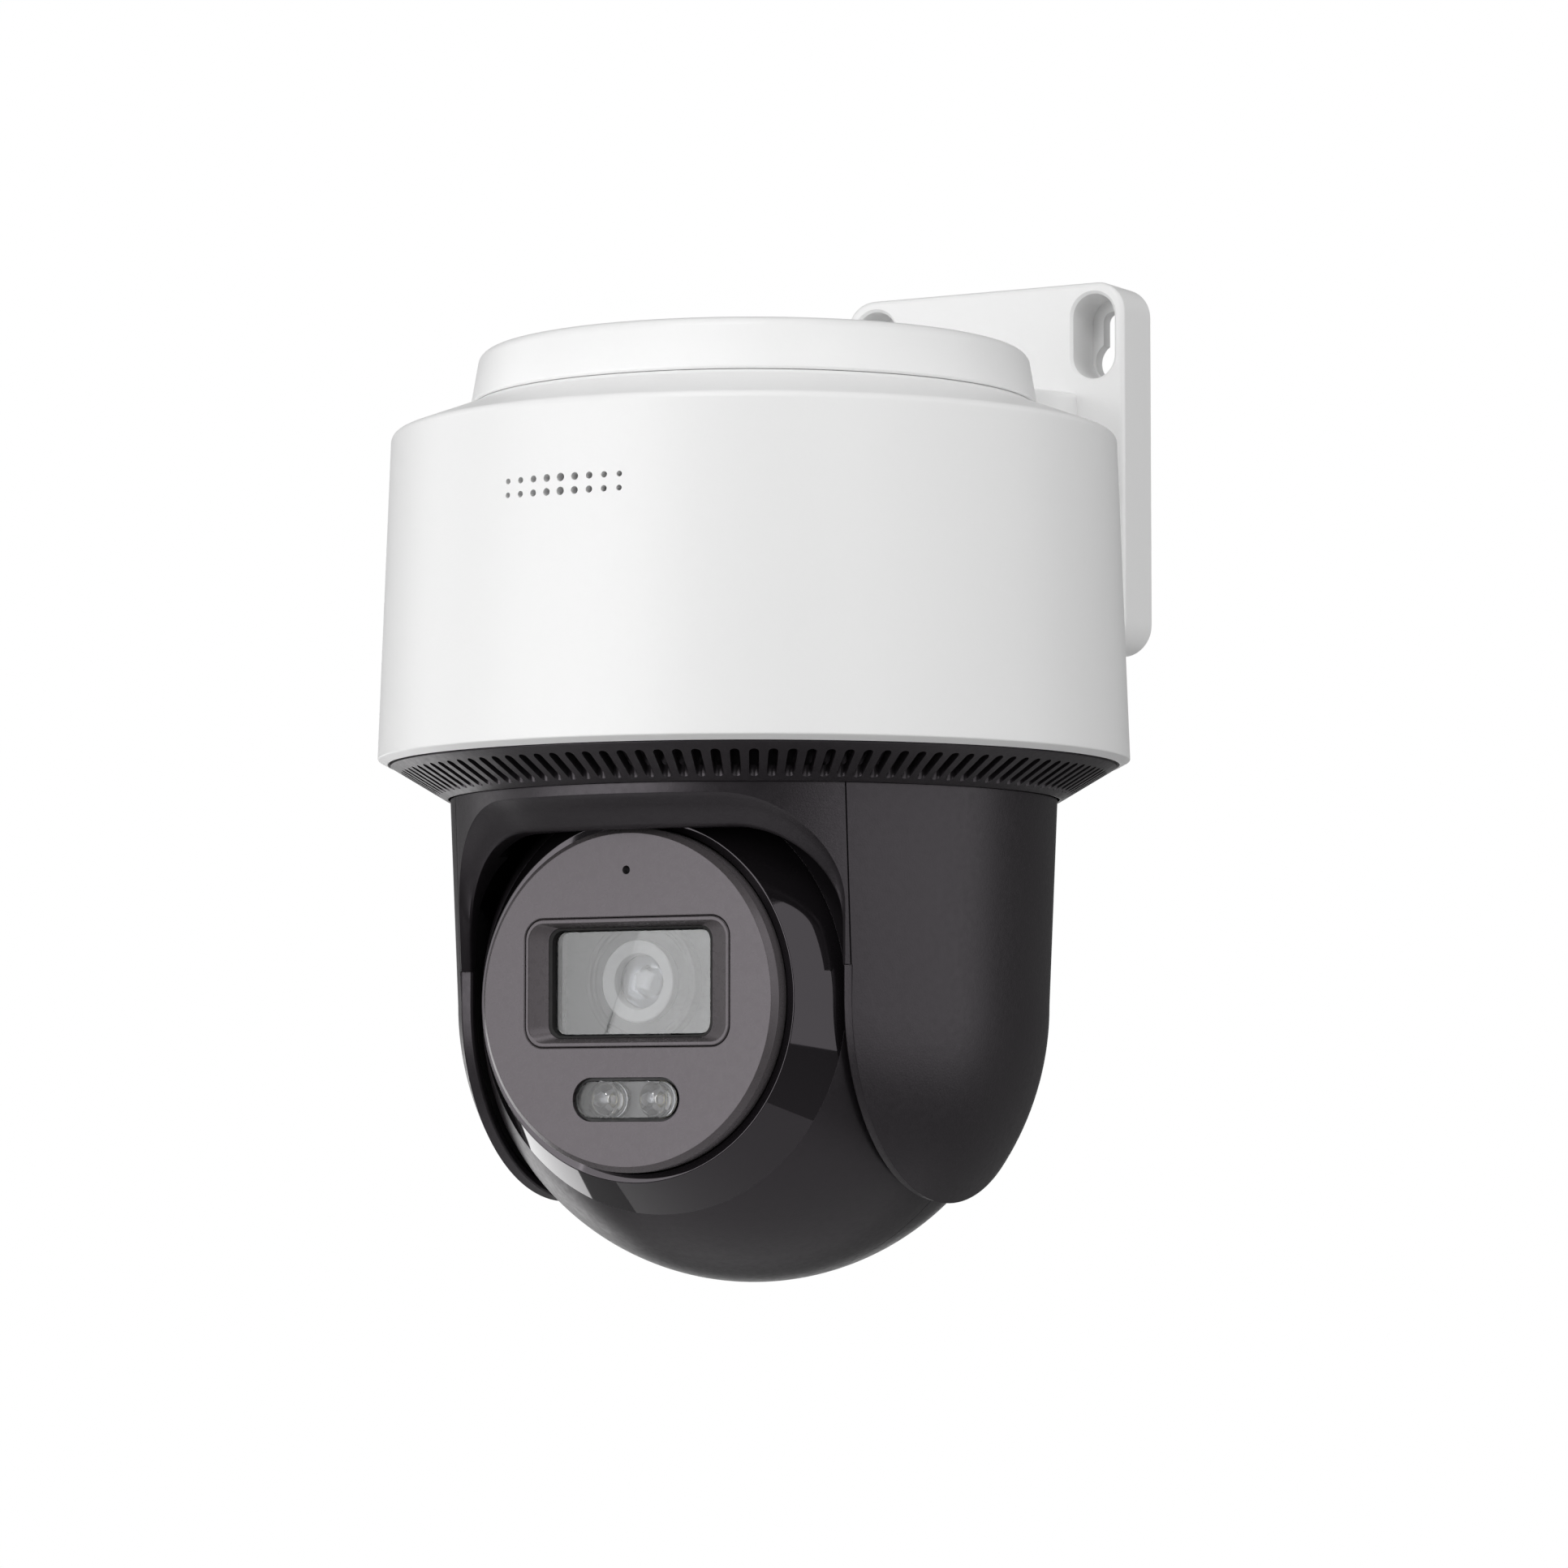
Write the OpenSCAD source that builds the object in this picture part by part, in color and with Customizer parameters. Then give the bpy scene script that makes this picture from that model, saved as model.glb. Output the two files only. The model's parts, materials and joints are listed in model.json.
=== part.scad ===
// Pan-tilt-zoom camera on a wall bracket.
// The origin is the centre of the bracket plate's back face: +Y runs into the wall and +Z is up.
// Each module is drawn about the tilt centre, where the pan and tilt axes cross, and then placed.

/* [Bracket] */
// Distance from the wall to the pan axis
pan_reach = 93; // [90:1:110]
// Height of the wall plate's centre above the tilt centre
plate_height = 97; // [95:0.5:99]
// Width of the wall plate
plate_w = 56; // [50:1:60]
// Height of the wall plate
plate_h = 66; // [62:1:68]
// Thickness of the wall plate
plate_t = 11; // [9:0.5:12]
// Width of the bracket arm
arm_w = 37.6; // [36:1:44]
// Radius of the bracket's top disc
disc_r = 47; // [44:0.5:50]
// Distance between the two keyholes
keyhole_spacing = 44; // [42:0.5:46]

/* [Drum] */
// Outer radius of the drum at its lip
drum_r = 62.1; // [61:0.1:63]
// Wall thickness of the drum
drum_wall = 2.2; // [1.8:0.1:2.4]
// Number of slots in the vent ring
vent_slots = 120; // [60:12:120]

/* [Yoke] */
// Radius of the yoke body above the tilt centre
yoke_r = 50.1; // [49.8:0.1:50.1]
// Radius of the yoke's rounded lower end
yoke_ball_r = 48.7; // [48.5:0.1:49]
// Distance from the pan axis to the seam of a side cover
seam_x = 36.4; // [36:0.1:36.8]

/* [Ball] */
// Radius of the camera ball
ball_r = 45.4; // [45:0.1:45.6]
// Half the width of the ball between its flat sides
ball_half_w = 34; // [33:0.1:34.2]
// Wall thickness of the ball shells
ball_wall = 2.4; // [2:0.1:2.6]
// Radius of the front face
face_r = 27.4; // [27:0.1:28]
// Distance of the front face from the tilt centre
face_y = 40.6; // [40:0.1:41]
// Width of the lens window's bezel
window_w = 38; // [36:0.1:39]
// Height of the lens window's bezel
window_h = 20.7; // [20:0.1:21]
// Height of the lens window above the tilt centre
window_z = 2.8; // [2:0.1:3]
// Height of the light pill, below the tilt centre
pill_z = -15.8; // [-16.2:0.1:-15.6]

/* [Gears] */
// Teeth on the pan gear
pan_teeth = 72; // [72:1:72]
// Teeth on the tilt gear
tilt_teeth = 58; // [58:1:58]
// Teeth on each motor pinion
pinion_teeth = 14; // [14:1:14]

/* [Hidden] */
$fn = 64;

white = [0.93, 0.93, 0.92];
charcoal = [0.2, 0.19, 0.2];
black = [0.07, 0.07, 0.075];
warm_grey = [0.42, 0.4, 0.4];
steel = [0.7, 0.71, 0.73];
acetal = [0.85, 0.85, 0.8];
board_green = [0.05, 0.28, 0.16];
glass_tint = [0.6, 0.64, 0.68];

// Heights above the tilt centre
lip_z = 39.4;
drum_bottom_z = 40.3;
drum_top_z = 93.8;
shoulder_z = 98.7;
disc_z = 99.2;
bracket_top_z = 107.8;
arm_end_top_z = 110.7;
vent_inner_z = 33.5;
vent_rim_z = 46;
turntable_z = 47;
turntable_t = 3;
chassis_z = 56;
chassis_t = 3;
board_z = 66;
cover_top_z = 46.8;
rim_seam_z = 5.2;

// Radii and reaches about the pan axis
drum_top_r = 60.1;
shoulder_r = 46;
neck_r = 44;
vent_inner_r = 50.4;
boss_reach = 35.4;
plate_front_y = pan_reach - plate_t;
keyhole_top_z = plate_height + plate_h / 2 - 6.1;
keyhole_drop = 7;
keyhole_entry_r = 3.6;
keyhole_slot_r = 2;
lower_hole_r = 2.25;
lower_hole_z = plate_height - plate_h / 2 + 8;
cable_z = plate_height - 12;
cable_hole_r = 7;
cable_bore_r = 4.5;

// Pan drive
pan_module = 1;
pan_centres = pan_module * (pan_teeth + pinion_teeth) / 2;
pan_gear_t = 3;
pan_gear_z = turntable_z + turntable_t;
hub_r = 10;
race_r = 13;
race_gap = 0.8;
ball_bearing_r = 1.55;
bearing_outer_r = 16;
bearing_z = 55.5;
bearing_h = 7;
motor_shaft_r = 1.5;
stop_reach = 24;

// Tilt drive
tilt_module = 0.8;
tilt_centres = tilt_module * (tilt_teeth + pinion_teeth) / 2;
tilt_gear_x = 37.4;
tilt_gear_t = 2.5;
frame_plate_x = 34.8;
frame_plate_t = 1.6;
frame_plate_r = 30.2;
plate_room_r = 30.9;
axle_r = 3.95;
bush_bore_r = 4;
bush_r = 6;
cover_wall = 1.9;
rim_bevel_x = 33.8;
rim_bevel_w = 3.6;
rim_bevel_r = 31.25;
rim_bevel_end_r = 33.1;
cover_screw_y = 27;
cover_screw_z = 16;
motor_post_y = 12;

// Ball
ball_seam_y = 1.5;
collar_y = 30;
collar_tip_y = 37.7;
collar_inner_r = 27.6;
collar_tip_r = 29;
face_neck_r = 26.6;
face_rim_y = 37;
glass_depth = 2.3;
window_inner_w = 29;
window_inner_h = 16.6;
lens_z = 3;
pill_w = 19.8;
pill_h = 7;
led_spacing = 8.8;
mic_z = 20.6;
ball_screw_reach = 24;
card_w = 26;
card_h = 14;
card_z = -6;

module placed() {
    translate([0, -pan_reach, -plate_height]) children();
}

// Turns a shape drawn upwards so that it points forwards, with its height along -Y
module forwards() {
    rotate([90, 0, 0]) children();
}

// Turns a shape drawn upwards so that its height runs along +X
module sideways() {
    rotate([90, 0, 90]) children();
}

module ring(outer_r, inner_r, h) {
    difference() {
        cylinder(r = outer_r, h = h);
        translate([0, 0, -1]) cylinder(r = inner_r, h = h + 2);
    }
}

// A rectangle with round corners, centred, as an exact slab
module rounded_slab(w, h, t, r) {
    linear_extrude(t) {
        square([w - 2 * r, h], center = true);
        square([w, h - 2 * r], center = true);
        for (x = [-1, 1], y = [-1, 1]) {
            translate([x * (w / 2 - r), y * (h / 2 - r)]) circle(r = r);
        }
    }
}

// A pan-head screw with its head on the XY plane and its shank along +Z
module screw(head_r, shank_r, length) {
    translate([0, 0, -1.4]) {
        difference() {
            cylinder(r = head_r, h = 1.4);
            for (a = [0, 90]) {
                rotate([0, 0, a]) cube([head_r * 1.1, 0.5, 1.4], center = true);
            }
        }
    }
    cylinder(r = shank_r, h = length);
}

// Involute gear: half of a tooth's angle at radius r, then the outline from root to tip
function involute(a) = tan(a) * 180 / PI - a;
function half_tooth(r, m, teeth, play) =
    let (base_r = m * teeth / 2 * cos(20), a = r > base_r ? acos(base_r / r) : 0)
    90 / teeth - play / (m * teeth) * 180 / PI + involute(20) - involute(a);
function tooth_radii(m, teeth) = [
    for (step = [-1.2, -0.55, 0, 0.5, 0.92]) m * (teeth / 2 + step)
];
function gear_points(m, teeth, play) = [
    for (tooth = [0 : teeth - 1], side = [-1, 1], step = [0 : 4])
        let (r = tooth_radii(m, teeth)[side < 0 ? step : 4 - step])
        let (a = tooth * 360 / teeth + side * half_tooth(r, m, teeth, play))
        [r * cos(a), r * sin(a)]
];
gear_play = 0.16;

module gear(m, teeth, h) {
    linear_extrude(h) polygon(gear_points(m, teeth, gear_play));
}

module wall_bracket() {
    color(white) placed() difference() {
        union() {
            translate([0, pan_reach, plate_height]) forwards() rounded_slab(plate_w, plate_h, plate_t, 5.5);
            rotate_extrude() {
                polygon([[0, disc_z], [disc_r, disc_z], [disc_r - 1.4, bracket_top_z - 1.9],
                    [disc_r - 3.4, bracket_top_z], [0, bracket_top_z]]);
                translate([disc_r - 3.38, bracket_top_z - 2]) circle(r = 2);
            }
            translate([-arm_w / 2, 0, 0]) sideways() linear_extrude(arm_w) polygon([
                [0, disc_z], [0, bracket_top_z], [disc_r - 4, bracket_top_z],
                [plate_front_y + 1, arm_end_top_z], [plate_front_y + 1, disc_z]
            ]);
            translate([-arm_w / 2, 0, 0]) sideways() linear_extrude(arm_w) polygon([
                [66, disc_z + 1], [66, 90], [72, 80], [plate_front_y + 1, 75], [plate_front_y + 1, disc_z + 1]
            ]);
        }
        for (x = [-1, 1] * keyhole_spacing / 2) translate([x, 0, keyhole_top_z]) keyhole();
        for (x = [-1, 1] * keyhole_spacing / 2) {
            translate([x, pan_reach + 1, lower_hole_z]) forwards() {
                cylinder(r = lower_hole_r, h = plate_t + 2);
            }
        }
        // Cable way: through the plate, up the gusset, along the arm and down into the drum
        translate([0, pan_reach + 1, cable_z]) forwards() cylinder(r = cable_hole_r, h = plate_t + 1);
        translate([-6, 74.5, cable_z - 3]) cube([12, plate_front_y - 74.4, 20]);
        translate([-6, 22, disc_z + 1.5]) cube([12, 57, 4]);
        translate([0, 28, disc_z - 1]) cylinder(r = 5, h = 4);
        for (a = [90 : 120 : 330]) rotate([0, 0, a + 60]) {
            translate([36, 0, disc_z - 1]) cylinder(r = 1.6, h = 6);
        }
    }
}

module keyhole() {
    for (z = [0, -keyhole_drop]) {
        translate([0, plate_front_y + 8.4, z]) forwards() cylinder(r = 4.1, h = 10);
    }
    translate([-4.1, plate_front_y - 1.6, -keyhole_drop]) cube([8.2, 10, keyhole_drop]);
    translate([0, pan_reach + 1, -keyhole_drop]) forwards() cylinder(r = keyhole_entry_r, h = 5);
    translate([0, pan_reach + 1, 0]) forwards() cylinder(r = keyhole_slot_r, h = 5);
    translate([-keyhole_slot_r, pan_reach - 4, -keyhole_drop]) {
        cube([2 * keyhole_slot_r, 5, keyhole_drop]);
    }
}

module cable_grommet() {
    color(black) placed() translate([0, pan_reach, cable_z]) forwards() ring(cable_hole_r, cable_bore_r, 9);
}

module bracket_screws() {
    color(steel) placed() for (a = [90 : 120 : 330]) rotate([0, 0, a + 60]) {
        translate([36, 0, disc_z - 3.5]) screw(3, 1.6, 8);
    }
}

module drum_seal() {
    color(black) placed() translate([0, 0, shoulder_z]) ring(neck_r - 0.5, neck_r - 4, disc_z - shoulder_z);
}

module drum_profile() {
    polygon([
        [0, shoulder_z], [shoulder_r, shoulder_z], [drum_top_r - 1.2, drum_top_z + 0.6],
        [drum_top_r, drum_top_z - 0.9], [drum_r, drum_bottom_z], [drum_r - 1.6, lip_z],
        [drum_r - 1.9, lip_z], [drum_r - drum_wall, drum_bottom_z], [drum_top_r - drum_wall, drum_top_z - 3],
        [shoulder_r - 2, shoulder_z - 3.5], [0, shoulder_z - 3.5]
    ]);
}

module drum_housing() {
    color(white) placed() difference() {
        union() {
            rotate_extrude() drum_profile();
            for (x = [-1, 1], y = [-1, 1]) {
                translate([x * boss_reach, y * boss_reach, chassis_z + chassis_t]) {
                    cylinder(r = 4, h = drum_top_z - chassis_z - chassis_t);
                }
            }
            translate([0, 0, shoulder_z - 1]) cylinder(r = neck_r - 5, h = disc_z - shoulder_z + 1);
        }
        for (x = [-1, 1], y = [-1, 1]) {
            translate([x * boss_reach, y * boss_reach, chassis_z]) cylinder(r = 1.2, h = 15);
        }
        for (a = [90 : 120 : 330]) rotate([0, 0, a + 60]) {
            translate([36, 0, disc_z - 10]) cylinder(r = 1.8, h = 12);
            translate([36, 0, disc_z - 10]) cylinder(r = 3.4, h = 6.5);
        }
        translate([0, 28, disc_z - 8]) cylinder(r = 5, h = 10);
        for (row = [0, 1], column = [-4 : 4]) {
            rotate([0, 0, column * 2.43]) translate([0, -50, 81.2 - row * 2.2]) {
                forwards() cylinder(d = 1.36 - 0.11 * abs(column), h = 15);
            }
        }
    }
}

module vent_ring() {
    color(black) placed() difference() {
        rotate_extrude() polygon([
            [vent_inner_r, vent_inner_z], [60.05, lip_z - 0.1], [60.05, lip_z + 0.1], [59.4, lip_z + 0.8],
            [59.3, vent_rim_z], [57.4, vent_rim_z], [57.4, lip_z + 0.4], [vent_inner_r, vent_inner_z + 1.8]
        ]);
        for (i = [0 : vent_slots - 1]) rotate([0, 0, (i + 0.5) * 360 / vent_slots]) {
            translate([52.1, -0.65, 30]) cube([5, 1.3, 20]);
        }
    }
}

module base_chassis() {
    color(white) placed() difference() {
        union() {
            translate([0, 0, chassis_z]) cylinder(r = 58.8, h = chassis_t);
            translate([0, 0, vent_rim_z]) ring(58.8, 57.2, chassis_z - vent_rim_z + 1);
            translate([0, 0, chassis_z - 3]) cylinder(r = 19, h = 10);
            for (x = [-28, 28], y = [-22, 22]) {
                translate([x, y, chassis_z + 1]) cylinder(r = 3, h = board_z - chassis_z - 1);
            }
            translate([stop_reach, 0, chassis_z - 5]) cylinder(r = 1.5, h = 6);
        }
        translate([0, 0, chassis_z - 4]) cylinder(r = bearing_outer_r, h = 12);
        translate([0, pan_centres, chassis_z - 1]) cylinder(r = 3, h = 6);
        for (x = [-28, 28], y = [-22, 22]) translate([x, y, board_z - 6]) cylinder(r = 1, h = 7);
        for (x = [-1, 1], y = [-1, 1]) {
            translate([x * boss_reach, y * boss_reach, chassis_z - 1]) cylinder(r = 1.6, h = 6);
        }
        for (x = [-8, 8]) translate([x, pan_centres, chassis_z - 1]) cylinder(r = 1.2, h = 6);
    }
}

module chassis_screws() {
    color(steel) placed() for (x = [-1, 1], y = [-1, 1]) {
        translate([x * boss_reach, y * boss_reach, chassis_z]) screw(2.6, 1.2, 10);
    }
}

module speaker_driver() {
    color(black) placed() translate([0, -47, 79]) forwards() difference() {
        union() {
            cylinder(r = 7, h = 3);
            translate([0, 0, 3]) cylinder(r = 11, h = 4.5);
        }
        translate([0, 0, 4.5]) cylinder(r1 = 4, r2 = 9.5, h = 3.2);
    }
}

module main_board() {
    color(board_green) placed() difference() {
        translate([0, 0, board_z]) cylinder(r = 45, h = 1.6);
        translate([0, pan_centres, board_z - 1]) cylinder(r = 11.5, h = 4);
        translate([0, 0, board_z - 1]) cylinder(r = 12, h = 4);
        for (x = [-28, 28], y = [-22, 22]) translate([x, y, board_z - 1]) cylinder(r = 1.2, h = 4);
        for (x = [-1, 1], y = [-1, 1]) {
            translate([x * boss_reach, y * boss_reach, board_z - 1]) cylinder(r = 6, h = 4);
        }
    }
}

module board_screws() {
    color(steel) placed() for (x = [-28, 28], y = [-22, 22]) {
        translate([x, y, board_z + 1.6]) mirror([0, 0, 1]) screw(2.2, 1, 6);
    }
}

module network_jack() {
    color(steel) placed() translate([22, -8, board_z + 1.6]) difference() {
        cube([16, 21, 13.5]);
        translate([2, 4, 2]) cube([12, 18, 9]);
    }
}

module pan_motor() {
    color(steel) placed() translate([0, pan_centres, chassis_z + chassis_t]) difference() {
        union() {
            cylinder(r = 9.5, h = 19);
            rounded_slab(27, 7, 1, 3.4);
        }
        translate([0, 0, -1]) cylinder(r = motor_shaft_r + 0.05, h = 17);
        for (x = [-11.3, 11.3]) translate([x, 0, -1]) cylinder(r = 0.9, h = 3);
    }
}

module pan_motor_screws() {
    color(steel) placed() for (x = [-11.3, 11.3]) {
        translate([x, pan_centres, chassis_z + chassis_t + 1]) mirror([0, 0, 1]) screw(1.7, 0.8, 1);
    }
}

module bearing_outer_ring() {
    color(steel) placed() difference() {
        translate([0, 0, bearing_z]) ring(bearing_outer_r, race_r + race_gap, bearing_h);
        bearing_groove();
    }
}

module bearing_groove() {
    translate([0, 0, bearing_z + bearing_h / 2]) rotate_extrude() {
        translate([race_r, 0]) circle(r = ball_bearing_r + 0.1);
    }
}

module bearing_balls() {
    color(steel) placed() for (a = [0 : 30 : 330]) rotate([0, 0, a]) {
        translate([race_r, 0, bearing_z + bearing_h / 2]) sphere(r = ball_bearing_r);
    }
}

module pan_pinion() {
    color("goldenrod") placed() translate([0, pan_centres, pan_gear_z + 0.3]) {
        rotate([0, 0, -90 + 180 / pinion_teeth]) gear(pan_module, pinion_teeth, pan_gear_t);
        cylinder(r = motor_shaft_r, h = 18);
    }
}

module yoke_frame() {
    color(charcoal) placed() difference() {
        union() {
            translate([0, 0, turntable_z]) cylinder(r = 47.4, h = turntable_t);
            translate([0, 0, turntable_z]) cylinder(r = hub_r, h = 18);
            for (side = [-1, 1]) translate([side * (frame_plate_x + frame_plate_t / 2), 0, 0]) {
                arm_plate();
            }
            for (y = [-1, 1] * motor_post_y) translate([frame_plate_x + 1, y, tilt_centres]) {
                sideways() cylinder(r = 2, h = 5.2);
            }
            translate([-stop_reach, 0, pan_gear_z + 2.4]) cube([5, 2.4, 5], center = true);
        }
        translate([0, 0, turntable_z - 1]) cylinder(r = 7, h = 30);
        for (side = [-1, 1]) translate([side * frame_plate_x - 3, 0, 0]) {
            sideways() cylinder(r = bush_r, h = 6);
        }
        for (a = [30, 150, 270]) rotate([0, 0, a]) {
            translate([31, 0, turntable_z + 0.6]) cylinder(r = 1, h = 6);
        }
        for (side = [-1, 1], y = [-1, 1] * cover_screw_y) {
            translate([side * frame_plate_x - 3, y, cover_screw_z]) sideways() cylinder(r = 1.2, h = 6);
        }
        for (y = [-1, 1] * motor_post_y) translate([frame_plate_x + 2.5, y, tilt_centres]) {
            sideways() cylinder(r = 0.7, h = 5);
        }
    }
}

// The inner wall of an arm: a round lower end about the tilt axis, carried straight up to the turntable
module arm_plate() {
    translate([-frame_plate_t / 2, 0, 0]) {
        sideways() cylinder(r = frame_plate_r, h = frame_plate_t);
        translate([0, -frame_plate_r, 0]) cube([frame_plate_t, 2 * frame_plate_r, turntable_z + 1]);
    }
}

module pan_gear() {
    color(acetal) placed() translate([0, 0, pan_gear_z]) difference() {
        rotate([0, 0, 90]) gear(pan_module, pan_teeth, pan_gear_t);
        translate([0, 0, -1]) cylinder(r = 28, h = 6);
        for (a = [30, 150, 270]) rotate([0, 0, a]) translate([31, 0, -1]) cylinder(r = 1.2, h = 6);
    }
}

module pan_gear_screws() {
    color(steel) placed() for (a = [30, 150, 270]) rotate([0, 0, a]) {
        translate([31, 0, pan_gear_z + pan_gear_t]) mirror([0, 0, 1]) screw(2, 1, 5);
    }
}

module bearing_inner_ring() {
    color(steel) placed() difference() {
        translate([0, 0, bearing_z]) ring(race_r - race_gap, hub_r, bearing_h);
        bearing_groove();
    }
}

module pan_retaining_ring() {
    color(steel) placed() translate([0, 0, bearing_z + bearing_h]) ring(11.6, hub_r, 1.2);
}

// The yoke's outer form: a barrel above the tilt centre with a round end below it
module yoke_form(inset) {
    difference() {
        sphere(r = yoke_ball_r - inset, $fn = 128);
        translate([-60, -60, 0]) cube(120);
    }
    cylinder(r1 = yoke_ball_r - inset, r2 = yoke_r - inset, h = 33.7);
    translate([0, 0, 33.6]) cylinder(r = yoke_r - 0.5 - inset, h = cover_top_z - 33.6 + inset);
}

// The arch opening is lofted from its outer edge on the barrel to a smaller edge further in
arch_outer = [seam_x, 31.9, 16.5];
arch_inner = [34.7, 27.1, 15.5];
arch_corner_steps = 9;
arch_top_steps = 8;
function arch_outline(size) = concat(
    [[-size[0], -60]],
    [for (i = [0 : arch_corner_steps]) let (a = 180 - i * 90 / arch_corner_steps)
        [-size[0] + size[2] + size[2] * cos(a), size[1] - size[2] + size[2] * sin(a)]],
    [for (i = [1 : arch_top_steps - 1]) let (w = size[0] - size[2])
        [-w + 2 * w * i / arch_top_steps, size[1]]],
    [for (i = [0 : arch_corner_steps]) let (a = 90 - i * 90 / arch_corner_steps)
        [size[0] - size[2] + size[2] * cos(a), size[1] - size[2] + size[2] * sin(a)]],
    [[size[0], -60]]
);
function barrel_y(x) = -sqrt(yoke_r * yoke_r - x * x);
function inner_edge_y(x) = -44 * sqrt(1 - (x / 51.3) * (x / 51.3));
arch_loops = [
    [for (p = arch_outline(arch_outer)) [p[0], -70, p[1]]],
    [for (p = arch_outline(arch_outer)) [p[0], barrel_y(p[0]) - 0.05, p[1]]],
    [for (p = arch_outline(arch_inner)) [p[0], inner_edge_y(p[0]), p[1]]],
    [for (p = arch_outline(arch_inner)) [p[0], -10, p[1]]]
];

module arch_cutter() {
    count = len(arch_loops[0]);
    points = [for (one = arch_loops, p = one) p];
    walls = [for (k = [0 : 2], i = [0 : count - 1]) let (j = (i + 1) % count, a = k * count, b = a + count)
        each [[a + i, b + i, b + j], [a + i, b + j, a + j]]];
    first = [[for (i = [0 : count - 1]) i]];
    last = [[for (i = [count - 1 : -1 : 0]) 3 * count + i]];
    polyhedron(points = points, faces = concat(walls, first, last), convexity = 6);
}

module yoke_front_cover() {
    color(charcoal) placed() difference() {
        intersection() {
            yoke_form(0);
            translate([-seam_x + 0.1, -60, rim_seam_z + 0.1]) {
                cube([2 * seam_x - 0.2, 60 - frame_plate_r - 0.3, 60]);
            }
        }
        sphere(r = ball_r + 1, $fn = 128);
        translate([-28.6, -60, -60]) {
            intersection() {
                cube([57.2, 60, 120]);
                translate([28.6, 60, 60]) sphere(r = 49.9, $fn = 128);
            }
        }
        translate([0, 0, 36]) cylinder(r = yoke_r - 0.5 - cover_wall, h = 20);
        arch_cutter();
    }
}

module yoke_rear_cover() {
    color(charcoal) translate([0, -2 * pan_reach, 0]) mirror([0, 1, 0]) yoke_front_cover();
}

// A shell with a rim below the seam; the rim is bevelled towards the ball
module side_cover() {
    difference() {
        union() {
            difference() {
                intersection() {
                    yoke_form(0);
                    union() {
                        translate([seam_x + 0.1, -60, rim_seam_z]) cube([20, 120, 60]);
                        translate([frame_plate_x - 0.2, -60, -60]) cube([20, 120, 60 + rim_seam_z]);
                    }
                }
                intersection() {
                    yoke_form(cover_wall);
                    translate([seam_x - 0.1, -60, -60]) cube([20, 120, 120]);
                }
                translate([30, 0, 0]) sideways() cylinder(r = plate_room_r, h = seam_x - 30);
                translate([30, -plate_room_r, 0]) cube([seam_x - 30, 2 * plate_room_r, 60]);
                rim_bevel();
            }
            for (y = [-1, 1] * cover_screw_y) translate([seam_x + 0.2, y, cover_screw_z]) {
                sideways() cylinder(r = 2.6, h = 3);
            }
        }
        for (y = [-1, 1] * cover_screw_y) translate([30, y, cover_screw_z]) {
            sideways() cylinder(r = 1.2, h = 9.1);
        }
    }
}

// The rim's bevel turns about the tilt axis and ends at the seam
module rim_bevel() {
    difference() {
        translate([rim_bevel_x, -60, -60]) cube([rim_bevel_w, 120, 60 + rim_seam_z]);
        translate([rim_bevel_x - 1, 0, 0]) sideways() {
            cylinder(r1 = rim_bevel_r, r2 = rim_bevel_end_r, h = rim_bevel_w + 2);
        }
    }
}

module side_cover_right() {
    color(charcoal) placed() side_cover();
}

module side_cover_left() {
    color(charcoal) placed() mirror([1, 0, 0]) side_cover();
}

module cover_screws() {
    color(steel) placed() for (side = [0, 1], y = [-1, 1] * cover_screw_y) mirror([side, 0, 0]) {
        translate([frame_plate_x - 0.25, y, cover_screw_z]) sideways() cylinder(r = 1.2, h = 4.4);
        translate([frame_plate_x - 0.45, y, cover_screw_z]) sideways() cylinder(r = 2.4, h = 0.45);
    }
}

module tilt_motor() {
    color(steel) placed() translate([frame_plate_x + 6.2, 0, tilt_centres]) sideways() difference() {
        union() {
            cylinder(r = 7.5, h = 5.3);
            rounded_slab(30, 6, 1, 2.9);
        }
        translate([0, 0, -1]) cylinder(r = motor_shaft_r + 0.05, h = 4.5);
        for (y = [-1, 1] * motor_post_y) translate([y, 0, -1]) cylinder(r = 0.9, h = 3);
    }
}

module tilt_motor_screws() {
    color(steel) placed() for (y = [-1, 1] * motor_post_y) {
        translate([frame_plate_x + 7.2, y, tilt_centres]) sideways() mirror([0, 0, 1]) screw(1.6, 0.7, 3.5);
    }
}

module tilt_bush() {
    translate([frame_plate_x - 0.5, 0, 0]) sideways() ring(bush_r, bush_bore_r, frame_plate_t + 1.2);
}

module tilt_bush_right() {
    color(acetal) placed() tilt_bush();
}

module tilt_bush_left() {
    color(acetal) placed() mirror([1, 0, 0]) tilt_bush();
}

module encoder_board() {
    color(board_green) placed() translate([-42.6, 0, 0]) sideways() rounded_slab(22, 16, 1.2, 2);
    color(charcoal) placed() for (y = [-1, 1] * 9) {
        translate([-41.4, y, 0]) sideways() cylinder(r = 1.6, h = 41.4 - frame_plate_x - frame_plate_t);
    }
}

module tilt_pinion() {
    color("goldenrod") placed() translate([tilt_gear_x - 0.2, 0, tilt_centres]) sideways() {
        rotate([0, 0, -90 + 180 / pinion_teeth]) gear(tilt_module, pinion_teeth, tilt_gear_t + 0.4);
        cylinder(r = motor_shaft_r, h = 5.5);
    }
}

// The ball between its flat sides, as a solid that is smaller by inset all round
module ball_form(inset) {
    intersection() {
        sphere(r = ball_r - inset, $fn = 128);
        translate([-ball_half_w + inset, -60, -60]) cube([2 * (ball_half_w - inset), 120, 120]);
    }
}

module axle_holes() {
    translate([-60, 0, 0]) sideways() cylinder(r = axle_r + 0.15, h = 120);
}

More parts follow.
